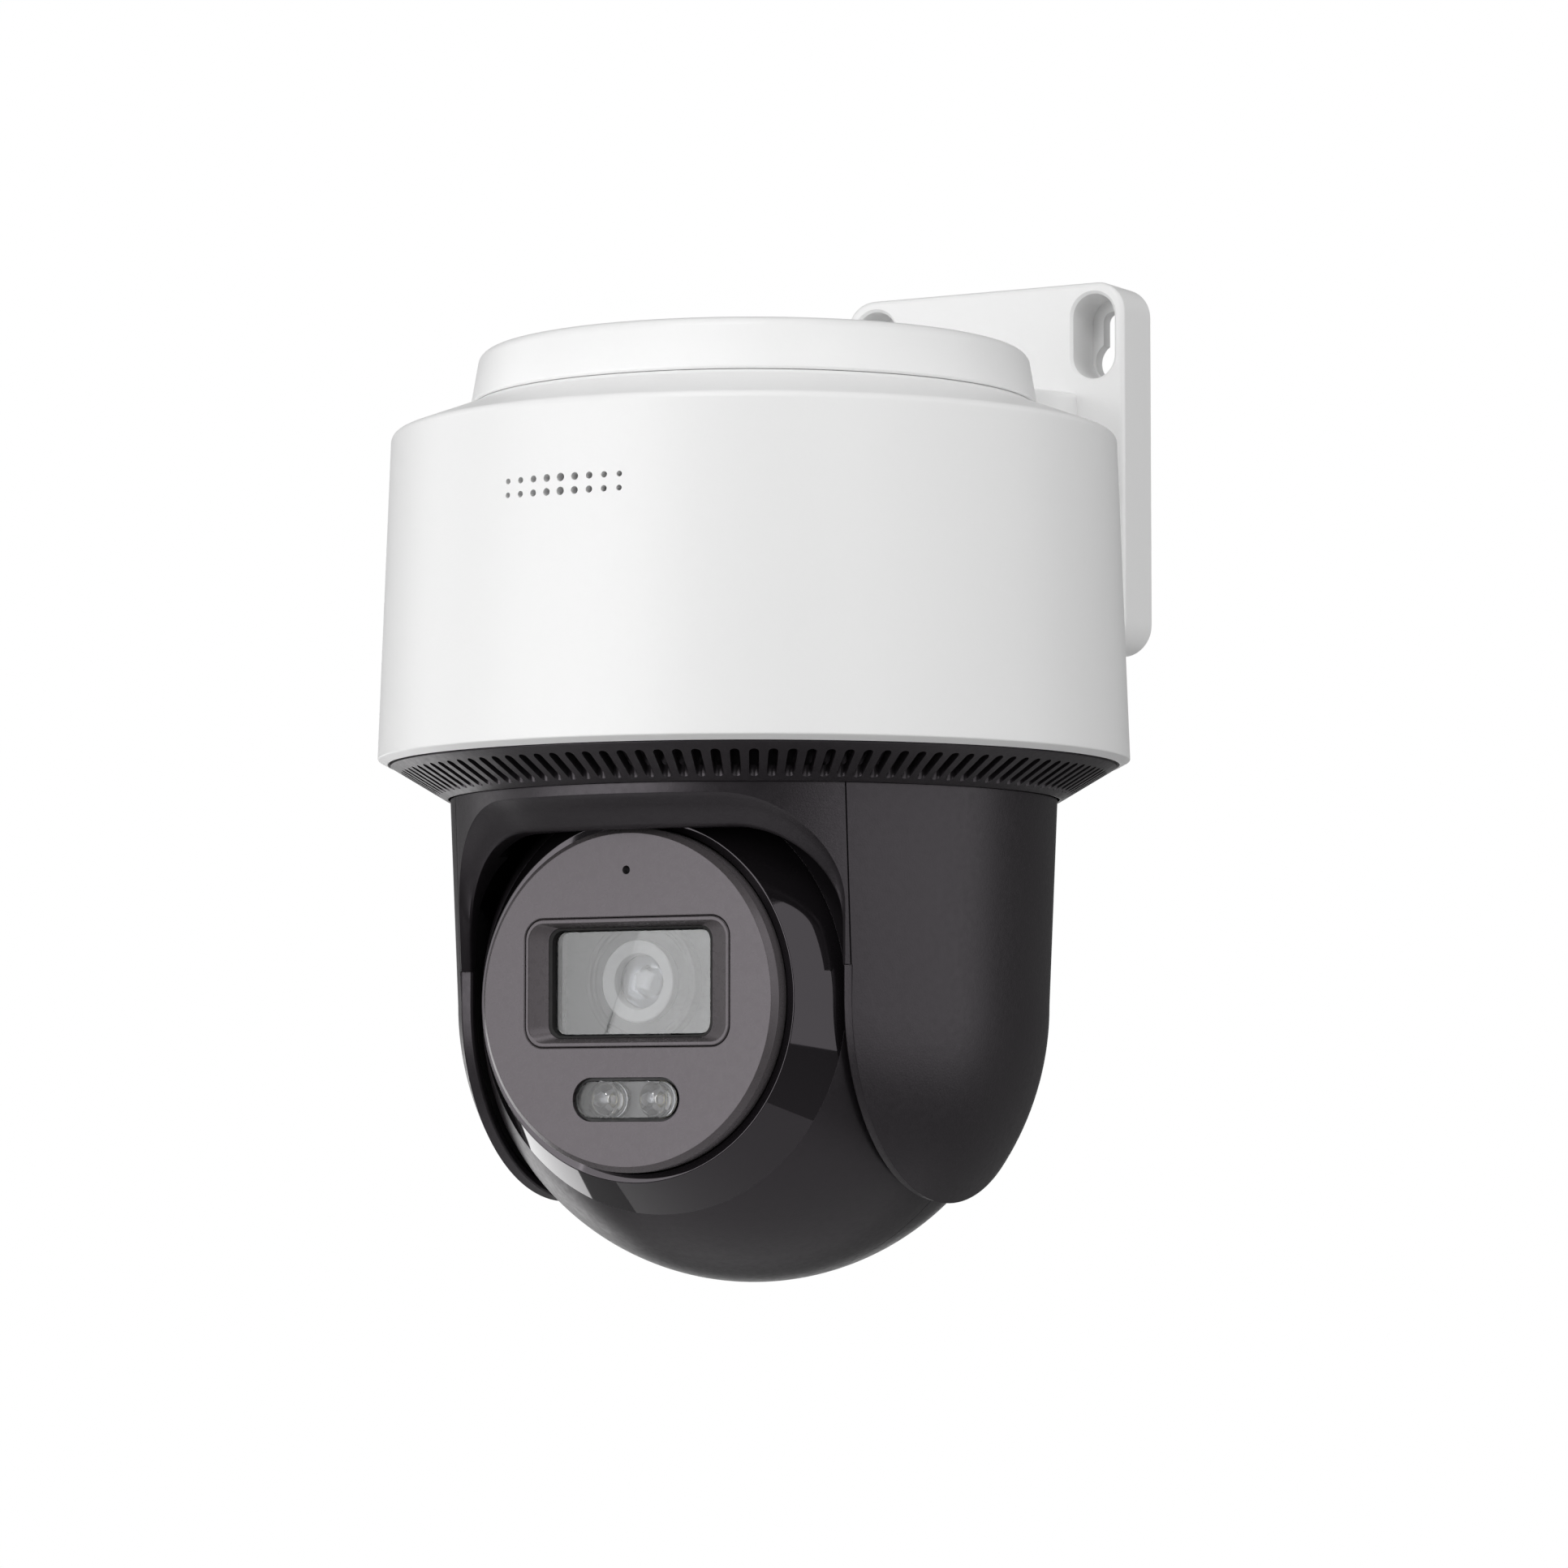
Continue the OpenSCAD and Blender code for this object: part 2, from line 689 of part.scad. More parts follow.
module ball_front_shell() {
    color(black) placed() difference() {
        union() {
            difference() {
                ball_form(0);
                ball_form(ball_wall);
            }
            intersection() {
                ball_form(0.5);
                union() {
                    shell_bosses(-12, 12 + ball_seam_y - 0.05);
                    boss_webs();
                }
            }
        }
        translate([-60, ball_seam_y - 0.05, -60]) cube(120);
        translate([-60, -60 - collar_y, -60]) cube([120, 60, 120]);
        axle_holes();
        for (x = [-1, 1] * ball_screw_reach, z = [-1, 1] * ball_screw_reach) {
            translate([x, 5, z]) forwards() cylinder(r = 1.1, h = 14);
        }
    }
}

module shell_bosses(y, length) {
    for (x = [-1, 1] * ball_screw_reach, z = [-1, 1] * ball_screw_reach) {
        translate([x, y + length, z]) forwards() cylinder(r = 3.2, h = length);
    }
}

// Webs that tie the front bosses to the flat sides, ending short of the gasket
module boss_webs() {
    for (x = [-ball_half_w, ball_screw_reach], z = [-1, 1] * ball_screw_reach) {
        translate([x, -12, z - 1]) cube([ball_half_w - ball_screw_reach, 11.5, 2]);
    }
}

module ball_rear_shell() {
    color(black) placed() difference() {
        union() {
            difference() {
                ball_form(0);
                ball_form(ball_wall);
            }
            intersection() {
                ball_form(0.5);
                shell_bosses(ball_seam_y, 40);
            }
        }
        translate([-60, ball_seam_y + 0.05 - 120, -60]) cube(120);
        axle_holes();
        for (x = [-1, 1] * ball_screw_reach, z = [-1, 1] * ball_screw_reach) {
            translate([x, 50, z]) forwards() cylinder(r = 1.3, h = 50);
            translate([x, 50, z]) forwards() cylinder(r = 2.4, h = 24);
        }
        translate([0, 60, card_z]) forwards() rounded_slab(card_w, card_h, 30, 4);
    }
}

module card_cover() {
    color(black) placed() intersection() {
        difference() {
            sphere(r = ball_r - 0.1, $fn = 128);
            sphere(r = ball_r - 2, $fn = 128);
        }
        translate([0, 60, card_z]) forwards() rounded_slab(card_w - 0.5, card_h - 0.5, 30, 3.75);
    }
}

module seam_outline(inset) {
    intersection() {
        circle(r = ball_r - inset);
        square([2 * (ball_half_w - inset), 120], center = true);
    }
}

module ball_gasket() {
    color(black) placed() difference() {
        translate([0, 3, 0]) forwards() linear_extrude(3) difference() {
            seam_outline(ball_wall + 0.2);
            seam_outline(ball_wall + 1.8);
        }
        translate([-60, 0, 0]) sideways() cylinder(r = 10, h = 120);
    }
}

module ball_screws() {
    color(steel) placed() for (x = [-1, 1] * ball_screw_reach, z = [-1, 1] * ball_screw_reach) {
        translate([x, 26, z]) forwards() screw(2.2, 1.1, 32);
    }
}

module collar_ring() {
    color(black) placed() forwards() rotate_extrude() polygon([
        [34.05, collar_y], [collar_tip_r, collar_tip_y], [collar_inner_r, collar_tip_y],
        [collar_inner_r, collar_y + 2.6], [31, collar_y]
    ]);
}

module face_plate() {
    color(warm_grey) placed() difference() {
        forwards() rotate_extrude() polygon([
            [0, face_y], [face_r - 0.9, face_y], [face_r, face_y - 0.9], [face_r, face_rim_y],
            [face_neck_r, face_rim_y], [face_neck_r, collar_y + 0.5], [face_neck_r - 1.6, collar_y + 0.5],
            [face_neck_r - 1.6, face_y - 2.5], [0, face_y - 2.5]
        ]);
        translate([0, -30, window_z]) forwards() rounded_slab(window_w, window_h, 20, 3.4);
        translate([0, -30, pill_z]) forwards() rounded_slab(pill_w, pill_h, 20, pill_h / 2 - 0.01);
        translate([0, -30, mic_z]) forwards() cylinder(d = 1.4, h = 20);
    }
}

module window_bezel() {
    color(warm_grey) placed() difference() {
        translate([0, -face_y + 3.6, window_z]) forwards() {
            rounded_slab(window_w - 0.3, window_h - 0.3, 3.6, 3.25);
        }
        translate([0, -30, window_z]) forwards() rounded_slab(window_inner_w, window_inner_h, 20, 2);
        translate([0, -face_y + glass_depth, window_z]) forwards() hull() {
            rounded_slab(window_inner_w, window_inner_h, 0.2, 2, $fn = 24);
            translate([0, 0, glass_depth]) rounded_slab(36.5, 19, 0.2, 3, $fn = 24);
        }
    }
}

module window_glass() {
    color(glass_tint) placed() translate([0, -face_y + glass_depth + 1.1, window_z]) forwards() {
        rounded_slab(window_inner_w - 0.1, window_inner_h - 0.1, 1.1, 1.95);
    }
}

module lens_barrel() {
    color(black) placed() translate([0, 0, lens_z]) forwards() difference() {
        union() {
            translate([0, 0, 16]) cylinder(r = 10.2, h = 18.6);
            translate([0, 0, 10]) cylinder(r = 8, h = 6);
        }
        translate([0, 0, 9]) cylinder(r = 6.5, h = 30);
        translate([0, 0, 34]) cylinder(r = 8.7, h = 2);
    }
}

module lens_retaining_ring() {
    color(warm_grey) placed() translate([0, -34, lens_z]) forwards() ring(8.7, 4.3, 1.6);
}

module lens_front_element() {
    color(glass_tint) placed() translate([0, 0, lens_z]) forwards() intersection() {
        translate([0, 0, 31]) cylinder(r = 6.4, h = 2.9);
        translate([0, 0, 19]) sphere(r = 14.8);
    }
}

module aperture_ring() {
    color(black) placed() translate([0, -27, lens_z]) forwards() ring(6.4, 2.2, 0.8);
}

module lens_rear_element() {
    color(glass_tint) placed() translate([0, 0, lens_z]) forwards() intersection() {
        translate([0, 0, 18]) cylinder(r = 6.4, h = 3);
        translate([0, 0, 32]) sphere(r = 14);
    }
}

module lens_holder() {
    color(charcoal) placed() translate([0, 0, lens_z]) forwards() difference() {
        union() {
            translate([-13, -13, 6]) cube([26, 26, 4]);
            translate([0, 0, 9]) cylinder(r = 11.5, h = 9);
        }
        translate([0, 0, 5]) cylinder(r = 6, h = 20);
        translate([0, 0, 10]) cylinder(r = 8, h = 20);
        translate([0, 0, 16]) cylinder(r = 10.2, h = 20);
    }
}

module image_sensor() {
    color(steel) placed() translate([-4.5, -8, lens_z - 4]) cube([9, 1.4, 8]);
}

module sensor_board() {
    color(board_green) placed() translate([0, -4.4, lens_z]) forwards() rounded_slab(34, 34, 1.6, 2);
}

module led_board() {
    color(board_green) placed() translate([0, -face_y + 9.6, pill_z]) forwards() {
        rounded_slab(pill_w - 0.6, pill_h - 0.6, 1.2, 1);
    }
}

module led_emitters() {
    color("khaki") placed() for (x = [-1, 1] * led_spacing / 2) {
        translate([x - 1.2, -face_y + 7.6, pill_z - 1.2]) cube([2.4, 0.8, 2.4]);
    }
}

module led_optics() {
    color(glass_tint) placed() for (x = [-1, 1] * led_spacing / 2) {
        translate([x, -face_y + 7.4, pill_z]) forwards() difference() {
            cylinder(r1 = 1.6, r2 = 3, h = 6);
            translate([0, 0, 4.4]) cylinder(r1 = 0.6, r2 = 1.9, h = 2);
        }
    }
}

module led_cover() {
    color(glass_tint) placed() translate([0, -face_y + 1.25, pill_z]) forwards() {
        rounded_slab(pill_w - 1, pill_h - 1, 1.2, pill_h / 2 - 0.51);
    }
}

module microphone() {
    color(steel) placed() translate([0, -face_y + 5.1, mic_z]) forwards() cylinder(r = 2, h = 2.5);
}

module tilt_axle(length) {
    translate([ball_half_w - ball_wall - 1.5, 0, 0]) sideways() cylinder(r = 9, h = 1.4);
    translate([ball_half_w - ball_wall - 1.5, 0, 0]) sideways() cylinder(r = axle_r, h = length);
}

module tilt_axle_right() {
    color(steel) placed() tilt_axle(11);
}

module tilt_axle_left() {
    color(steel) placed() mirror([1, 0, 0]) tilt_axle(7.6);
}

module tilt_gear() {
    color(acetal) placed() translate([tilt_gear_x, 0, 0]) sideways() difference() {
        rotate([0, 0, 90]) gear(tilt_module, tilt_teeth, tilt_gear_t);
        translate([0, 0, -1]) cylinder(r = axle_r, h = 6);
        for (a = [45 : 90 : 315]) rotate([0, 0, a]) translate([13, 0, -1]) cylinder(r = 4, h = 6);
    }
}

module encoder_magnet() {
    color(steel) placed() translate([-ball_half_w + ball_wall + 1.5 - 7.6 - 2, 0, 0]) sideways() {
        cylinder(r = 3, h = 2);
    }
}

wall_bracket();
cable_grommet();
bracket_screws();
drum_seal();
drum_housing();
vent_ring();
base_chassis();
chassis_screws();
speaker_driver();
main_board();
board_screws();
network_jack();
pan_motor();
pan_motor_screws();
bearing_outer_ring();
bearing_balls();
pan_pinion();
yoke_frame();
pan_gear();
pan_gear_screws();
bearing_inner_ring();
pan_retaining_ring();
yoke_front_cover();
yoke_rear_cover();
side_cover_right();
side_cover_left();
cover_screws();
tilt_motor();
tilt_motor_screws();
tilt_bush_right();
tilt_bush_left();
encoder_board();
tilt_pinion();
ball_front_shell();
ball_rear_shell();
ball_gasket();
ball_screws();
collar_ring();
face_plate();
window_bezel();
window_glass();
lens_barrel();
lens_retaining_ring();
lens_front_element();
aperture_ring();
lens_rear_element();
lens_holder();
image_sensor();
sensor_board();
led_board();
led_emitters();
led_optics();
led_cover();
microphone();
card_cover();
tilt_axle_right();
tilt_axle_left();
tilt_gear();
encoder_magnet();
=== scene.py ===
"""A pan-tilt-zoom camera on a wall bracket.

Every piece is drawn in millimetres about the tilt centre, where the pan and tilt axes cross:
+X is the camera's left-hand arm as it looks out, -Y is forwards and +Z is up. place() then
puts the finished shape in the frame, in metres.
"""

import json
import math

import bmesh
import bpy
from mathutils import Matrix, Vector


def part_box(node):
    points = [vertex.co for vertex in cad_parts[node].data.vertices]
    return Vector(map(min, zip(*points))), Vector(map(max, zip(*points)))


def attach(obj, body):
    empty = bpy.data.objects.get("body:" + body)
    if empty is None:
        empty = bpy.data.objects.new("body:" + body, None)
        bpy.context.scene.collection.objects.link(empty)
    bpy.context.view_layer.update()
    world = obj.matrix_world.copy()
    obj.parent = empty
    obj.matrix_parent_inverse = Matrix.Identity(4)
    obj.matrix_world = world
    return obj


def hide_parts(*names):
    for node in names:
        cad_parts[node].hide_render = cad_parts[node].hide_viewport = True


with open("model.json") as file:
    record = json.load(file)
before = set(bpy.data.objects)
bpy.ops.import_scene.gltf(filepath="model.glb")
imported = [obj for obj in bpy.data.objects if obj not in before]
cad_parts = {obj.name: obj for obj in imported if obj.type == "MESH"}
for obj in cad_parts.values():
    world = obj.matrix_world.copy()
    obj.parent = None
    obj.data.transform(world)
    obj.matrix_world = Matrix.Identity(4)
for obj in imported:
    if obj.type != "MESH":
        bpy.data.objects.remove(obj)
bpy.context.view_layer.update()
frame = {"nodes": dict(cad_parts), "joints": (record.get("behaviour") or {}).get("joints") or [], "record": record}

MM = 0.001
FULL_TURN = 2 * math.pi
TILT_CENTRE = Vector(next(j["pos_m"] for j in frame["joints"] if j["name"] == "tilt"))
PLACE = Matrix.Translation(TILT_CENTRE) @ Matrix.Scale(MM, 4)
FORWARDS = Matrix.Rotation(math.radians(90), 4, "X")
SIDEWAYS = Matrix.Rotation(math.radians(90), 4, "Z") @ Matrix.Rotation(math.radians(90), 4, "X")
UPWARDS = Matrix.Identity(4)


def size_of(node):
    """A node's lowest and highest corners in millimetres about the tilt centre."""
    low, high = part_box(node)
    return (Vector(low) - TILT_CENTRE) / MM, (Vector(high) - TILT_CENTRE) / MM


# Driving sizes, nearly all read from the frame
DRUM_LOW, DRUM_HIGH = size_of("drum_housing")
PLATE_HIGH = size_of("wall_bracket")[1]
BALL_HIGH = size_of("ball_rear_shell")[1]
FACE_LOW, FACE_HIGH = size_of("face_plate")
DRUM_R = DRUM_HIGH.x
DRUM_LIP_Z = DRUM_LOW.z
WALL_Y = PLATE_HIGH.y
BRACKET_TOP_Z = 107.8
BALL_R = 45.395
BALL_HALF_W = BALL_HIGH.x
FACE_R = FACE_HIGH.x
FACE_Y = -FACE_LOW.y


# ---------------------------------------------------------------- shape tools


def rounded(corners, steps=4):
    """The points of an outline whose corners are (across, along) or (across, along, fillet radius)."""
    points = []
    count = len(corners)
    for i, corner in enumerate(corners):
        here = Vector(corner[:2])
        radius = corner[2] if len(corner) > 2 else 0
        if not radius:
            points.append(here)
            continue
        before = (Vector(corners[i - 1][:2]) - here).normalized()
        after = (Vector(corners[(i + 1) % count][:2]) - here).normalized()
        half = before.angle(after) / 2
        centre = here + (before + after).normalized() * radius / math.sin(half)
        start = here + before * radius / math.tan(half) - centre
        end = here + after * radius / math.tan(half) - centre
        sweep = start.angle(end)
        for step in range(steps + 1):
            share = step / steps
            ahead = math.sin(sweep * share) / math.sin(sweep)
            behind = math.sin(sweep * (1 - share)) / math.sin(sweep)
            points.append(centre + start * behind + end * ahead)
    return points


def arc(radius, start, end, steps):
    """Points on a circle about the centre, from one angle to another, in degrees."""
    angles = [math.radians(start + (end - start) * i / steps) for i in range(steps + 1)]
    return [(radius * math.cos(a), radius * math.sin(a)) for a in angles]


def tidy(shape):
    bmesh.ops.remove_doubles(shape, verts=shape.verts, dist=1e-4)
    bmesh.ops.dissolve_degenerate(shape, edges=shape.edges, dist=1e-5)
    bmesh.ops.recalc_face_normals(shape, faces=shape.faces)
    return shape


def lathe(corners, turn=UPWARDS, steps=192, closed=True, sweep=FULL_TURN, fillet_steps=4):
    """Turns an outline of (radius, height) corners about Z, then about to another axis."""
    shape = bmesh.new()
    ring = [shape.verts.new((p[0], 0, p[1])) for p in rounded(corners, fillet_steps)]
    last = len(ring) if closed else len(ring) - 1
    edges = [shape.edges.new((ring[i], ring[(i + 1) % len(ring)])) for i in range(last)]
    whole = sweep == FULL_TURN
    bmesh.ops.spin(
        shape, geom=ring + edges, cent=(0, 0, 0), axis=(0, 0, 1), angle=sweep, steps=steps, use_merge=whole
    )
    tidy(shape)
    shape.transform(turn)
    return shape


def round_rect(width, height, radius, steps=8):
    """A rectangle's outline with round corners, centred."""
    w, h = width / 2, height / 2
    return rounded([(-w, -h, radius), (w, -h, radius), (w, h, radius), (-w, h, radius)], steps)


def level(points, height):
    return [(p[0], p[1], height) for p in points]


def loft(rows, turn=UPWARDS, capped=True):
    """Extrudes a closed row of points through the rows after it, then caps both ends or joins them."""
    shape = bmesh.new()
    ring = [shape.verts.new(point) for point in rows[0]]
    edges = first = [shape.edges.new((ring[i - 1], ring[i])) for i in range(len(ring))]
    for row in rows[1:] if capped else [*rows[1:], rows[0]]:
        order = {tuple(vert.co): i for i, vert in enumerate(ring)}
        made = bmesh.ops.extrude_edge_only(shape, edges=edges)["geom"]
        ring = [part for part in made if isinstance(part, bmesh.types.BMVert)]
        ring.sort(key=lambda vert: order[tuple(vert.co)])
        edges = [part for part in made if isinstance(part, bmesh.types.BMEdge)]
        edges = [edge for edge in edges if all(vert in ring for vert in edge.verts)]
        for vert, point in zip(ring, row):
            vert.co = point
    if capped:
        for loop in (first, edges):
            bmesh.ops.contextual_create(shape, geom=loop)
        bmesh.ops.recalc_face_normals(shape, faces=shape.faces)
    else:
        tidy(shape)
    shape.transform(turn)
    return shape


def slab(outline, bottom, top, turn=UPWARDS, edge=0.0):
    """An outline pulled up into a slab, with an optional bevel round its top edge."""
    shape = loft([level(outline, bottom), level(outline, top)])
    if edge:
        rim = [e for e in shape.edges if all(v.co.z > top - 1e-4 for v in e.verts)]
        bmesh.ops.bevel(
            shape, geom=rim, offset=edge, segments=3, profile=0.5, affect="EDGES", material=-1
        )
    shape.transform(turn)
    return shape


def block(low, high, edge=0.0):
    """A box between two corners, with an optional bevel on every edge."""
    shape = bmesh.new()
    bmesh.ops.create_cube(shape, size=1)
    size = Vector(high) - Vector(low)
    middle = (Vector(high) + Vector(low)) / 2
    shape.transform(Matrix.Translation(middle) @ Matrix.Diagonal((*size, 1)))
    if edge:
        bmesh.ops.bevel(
            shape, geom=shape.edges[:], offset=edge, segments=3, profile=0.5, affect="EDGES", material=-1
        )
    return shape


def rod(radius, bottom, top, turn=UPWARDS, steps=48, at=(0, 0), edge=0.0):
    """A round rod along the given axis, with an optional fillet at its top."""
    side = [(0, bottom), (radius, bottom), (radius, top, edge), (0, top)]
    shape = lathe(side, UPWARDS, steps, closed=False)
    shape.transform(turn @ Matrix.Translation((at[0], at[1], 0)))
    return shape


def moved(shape, *offset):
    shape.transform(Matrix.Translation(offset))
    return shape


def joined(*shapes):
    """Several separate shapes as one."""
    whole = bmesh.new()
    for shape in shapes:
        mesh = bpy.data.meshes.new("part")
        shape.to_mesh(mesh)
        whole.from_mesh(mesh)
        bpy.data.meshes.remove(mesh)
    return whole


def scratch_object(shape):
    mesh = bpy.data.meshes.new("scratch")
    shape.to_mesh(mesh)
    holder = bpy.data.objects.new("scratch", mesh)
    bpy.context.scene.collection.objects.link(holder)
    return holder


def carve(shape, *tools, how="DIFFERENCE"):
    """Cuts the tools from a shape, or joins or intersects them with it."""
    body = scratch_object(shape)
    cutters = [scratch_object(tool) for tool in tools]
    for cutter in cutters:
        change = body.modifiers.new("carve", "BOOLEAN")
        change.solver = "EXACT"
        change.operation = how
        change.object = cutter
    depsgraph = bpy.context.evaluated_depsgraph_get()
    mesh = bpy.data.meshes.new_from_object(body.evaluated_get(depsgraph))
    result = bmesh.new()
    result.from_mesh(mesh)
    bpy.data.meshes.remove(mesh)
    for holder in [body, *cutters]:
        spare = holder.data
        bpy.data.objects.remove(holder)
        bpy.data.meshes.remove(spare)
    bmesh.ops.remove_doubles(result, verts=result.verts, dist=1e-4)
    bmesh.ops.dissolve_degenerate(result, edges=result.edges, dist=1e-4)
    return result


# ------------------------------------------------------------------ materials


WARM_SHEEN = (1.0, 0.92, 1.0)


class Finish:
    """A procedural finish on Object coordinates, built one layer at a time."""

    def __init__(self, name, colour, roughness, metallic=0.0, specular=0.5):
        self.material = bpy.data.materials.new(name)
        self.material.use_nodes = True
        self.nodes = self.material.node_tree.nodes
        self.link = self.material.node_tree.links.new
        self.shader = self.nodes["Principled BSDF"]
        self.inputs = self.shader.inputs
        self.inputs["Base Color"].default_value = (*colour, 1)
        self.inputs["Roughness"].default_value = roughness
        self.inputs["Metallic"].default_value = metallic
        self.inputs["Specular IOR Level"].default_value = specular
        self.coordinates = self.nodes.new("ShaderNodeTexCoord")
        self.height = None

    def noise(self, scale, detail=2.0, roughness=0.5, stretch=(1, 1, 1)):
        mapping = self.nodes.new("ShaderNodeMapping")
        mapping.inputs["Scale"].default_value = stretch
        texture = self.nodes.new("ShaderNodeTexNoise")
        texture.inputs["Scale"].default_value = scale
        texture.inputs["Detail"].default_value = detail
        texture.inputs["Roughness"].default_value = roughness
        self.link(self.coordinates.outputs["Object"], mapping.inputs["Vector"])
        self.link(mapping.outputs["Vector"], texture.inputs["Vector"])
        return texture.outputs["Fac"]

    def spread(self, source, low, high):
        """A map from the middle of a noise's range to low..high."""
        ramp = self.nodes.new("ShaderNodeMapRange")
        ramp.inputs["From Min"].default_value = 0.3
        ramp.inputs["From Max"].default_value = 0.7
        ramp.inputs["To Min"].default_value = low
        ramp.inputs["To Max"].default_value = high
        self.link(source, ramp.inputs["Value"])
        return ramp.outputs["Result"]

    def mottle(self, scale, dark, light):
        """Slow colour variation between two close colours."""
        mix = self.nodes.new("ShaderNodeMix")
        mix.data_type = "RGBA"
        mix.inputs["A"].default_value = (*dark, 1)
        mix.inputs["B"].default_value = (*light, 1)
        self.link(self.spread(self.noise(scale), 0, 1), mix.inputs["Factor"])
        self.link(mix.outputs["Result"], self.inputs["Base Color"])
        return self

    def patchy(self, scale, low, high):
        """Roughness that wanders between two values, as on a handled surface."""
        self.link(self.spread(self.noise(scale), low, high), self.inputs["Roughness"])
        return self

    def grain(self, scale, depth, detail=2.0, stretch=(1, 1, 1)):
        """A moulded grain: bumps of a depth in millimetres at a number of grains a metre."""
        bump = self.nodes.new("ShaderNodeBump")
        bump.inputs["Strength"].default_value = 1
        bump.inputs["Distance"].default_value = depth * MM
        self.link(self.noise(scale, detail, stretch=stretch), bump.inputs["Height"])
        if self.height:
            self.link(self.height, bump.inputs["Normal"])
        self.height = bump.outputs["Normal"]
        self.link(self.height, self.inputs["Normal"])
        return self

    def tinted(self, colour):
        """A colour cast in the sheen."""
        self.inputs["Specular Tint"].default_value = (*colour, 1)
        return self

    def clear(self, index=1.45):
        self.inputs["Transmission Weight"].default_value = 1
        self.inputs["IOR"].default_value = index
        return self


def white_plastic():
    finish = Finish("spark_textured_white", (0.86, 0.86, 0.86), 0.38)
    finish.mottle(18, (0.855, 0.855, 0.855), (0.87, 0.87, 0.868)).patchy(700, 0.34, 0.42)
    return finish.grain(2600, 0.02).grain(900, 0.012).material


def charcoal_plastic():
    finish = Finish("grained_charcoal", (0.014, 0.0125, 0.014), 0.36).tinted(WARM_SHEEN)
    finish.mottle(30, (0.0145, 0.0128, 0.0145), (0.018, 0.0162, 0.018)).patchy(900, 0.32, 0.4)
    return finish.grain(3000, 0.02).grain(1100, 0.01).material


def ball_plastic():
    finish = Finish("fine_matte_black", (0.012, 0.0105, 0.012), 0.34).tinted(WARM_SHEEN)
    finish.mottle(30, (0.011, 0.0095, 0.011), (0.014, 0.0125, 0.014)).patchy(900, 0.3, 0.38)
    return finish.grain(3400, 0.012).material


def gloss_black():
    finish = Finish("piano_black", (0.007, 0.006, 0.007), 0.04, specular=0.6).tinted(WARM_SHEEN)
    return finish.mottle(25, (0.006, 0.005, 0.006), (0.009, 0.008, 0.009)).patchy(60, 0.03, 0.06).material


def face_paint():
    finish = Finish("warm_grey_satin", (0.07, 0.063, 0.066), 0.28).tinted(WARM_SHEEN)
    finish.mottle(40, (0.067, 0.0605, 0.0635), (0.073, 0.066, 0.069)).patchy(900, 0.25, 0.31)
    return finish.grain(4200, 0.0008).material


def inner_plastic():
    finish = Finish("moulded_black", (0.015, 0.014, 0.015), 0.5)
    finish.mottle(50, (0.012, 0.011, 0.012), (0.018, 0.017, 0.018)).patchy(400, 0.45, 0.6)
    return finish.grain(1800, 0.015).material


def rubber():
    finish = Finish("black_rubber", (0.02, 0.02, 0.02), 0.75, specular=0.3)
    finish.mottle(90, (0.017, 0.017, 0.017), (0.024, 0.023, 0.023)).patchy(300, 0.68, 0.82)
    return finish.grain(1500, 0.02).material


def machined_steel():
    finish = Finish("machined_steel", (0.6, 0.61, 0.62), 0.3, metallic=1)
    finish.mottle(120, (0.55, 0.56, 0.57), (0.66, 0.67, 0.68)).patchy(350, 0.22, 0.38)
    return finish.grain(900, 0.004, stretch=(1, 1, 8)).material


def screw_steel():
    finish = Finish("blackened_screw", (0.08, 0.08, 0.085), 0.35, metallic=1)
    finish.mottle(400, (0.06, 0.06, 0.065), (0.11, 0.11, 0.115)).patchy(600, 0.28, 0.42)
    return finish.grain(2500, 0.004).material


def brass():
    finish = Finish("pinion_brass", (0.75, 0.55, 0.25), 0.3, metallic=1)
    finish.mottle(200, (0.68, 0.48, 0.2), (0.8, 0.6, 0.3)).patchy(400, 0.22, 0.36)
    return finish.grain(1500, 0.004).material


def acetal():
    finish = Finish("gear_acetal", (0.8, 0.79, 0.74), 0.4)
    finish.mottle(60, (0.77, 0.76, 0.71), (0.83, 0.82, 0.77)).patchy(500, 0.35, 0.45)
    return finish.grain(1500, 0.006).material


def circuit_board():
    finish = Finish("solder_mask", (0.02, 0.14, 0.07), 0.3)
    finish.mottle(350, (0.014, 0.1, 0.05), (0.03, 0.19, 0.09)).patchy(300, 0.25, 0.4)
    return finish.grain(1200, 0.01).material


def phosphor():
    finish = Finish("led_phosphor", (0.75, 0.68, 0.25), 0.5)
    finish.mottle(2500, (0.7, 0.62, 0.2), (0.8, 0.75, 0.32))
    return finish.grain(4000, 0.01).material


def window_pane():
    finish = Finish("coated_window_pane", (0.86, 0.87, 0.88), 0.0).clear(1.62)
    finish.patchy(30, 0.0, 0.02)
    return finish.material


def pill_pane():
    finish = Finish("coated_pill_pane", (0.8, 0.8, 0.81), 0.0).clear(1.38)
    return finish.patchy(60, 0.0, 0.03).material


def lens_glass():
    finish = Finish("coated_lens_glass", (0.82, 0.84, 0.9), 0.0, specular=0.3).clear(1.6)
    finish.patchy(80, 0.0, 0.015)
    return finish.material


def optic_plastic():
    finish = Finish("clear_optic", (0.95, 0.95, 0.96), 0.02).clear(1.49)
    finish.patchy(300, 0.01, 0.05)
    return finish.material


def pale_ring_paint():
    finish = Finish("pale_ring_paint", (0.42, 0.42, 0.42), 0.35)
    finish.mottle(200, (0.4, 0.4, 0.4), (0.44, 0.44, 0.44)).patchy(300, 0.3, 0.4)
    return finish.grain(3000, 0.004).material


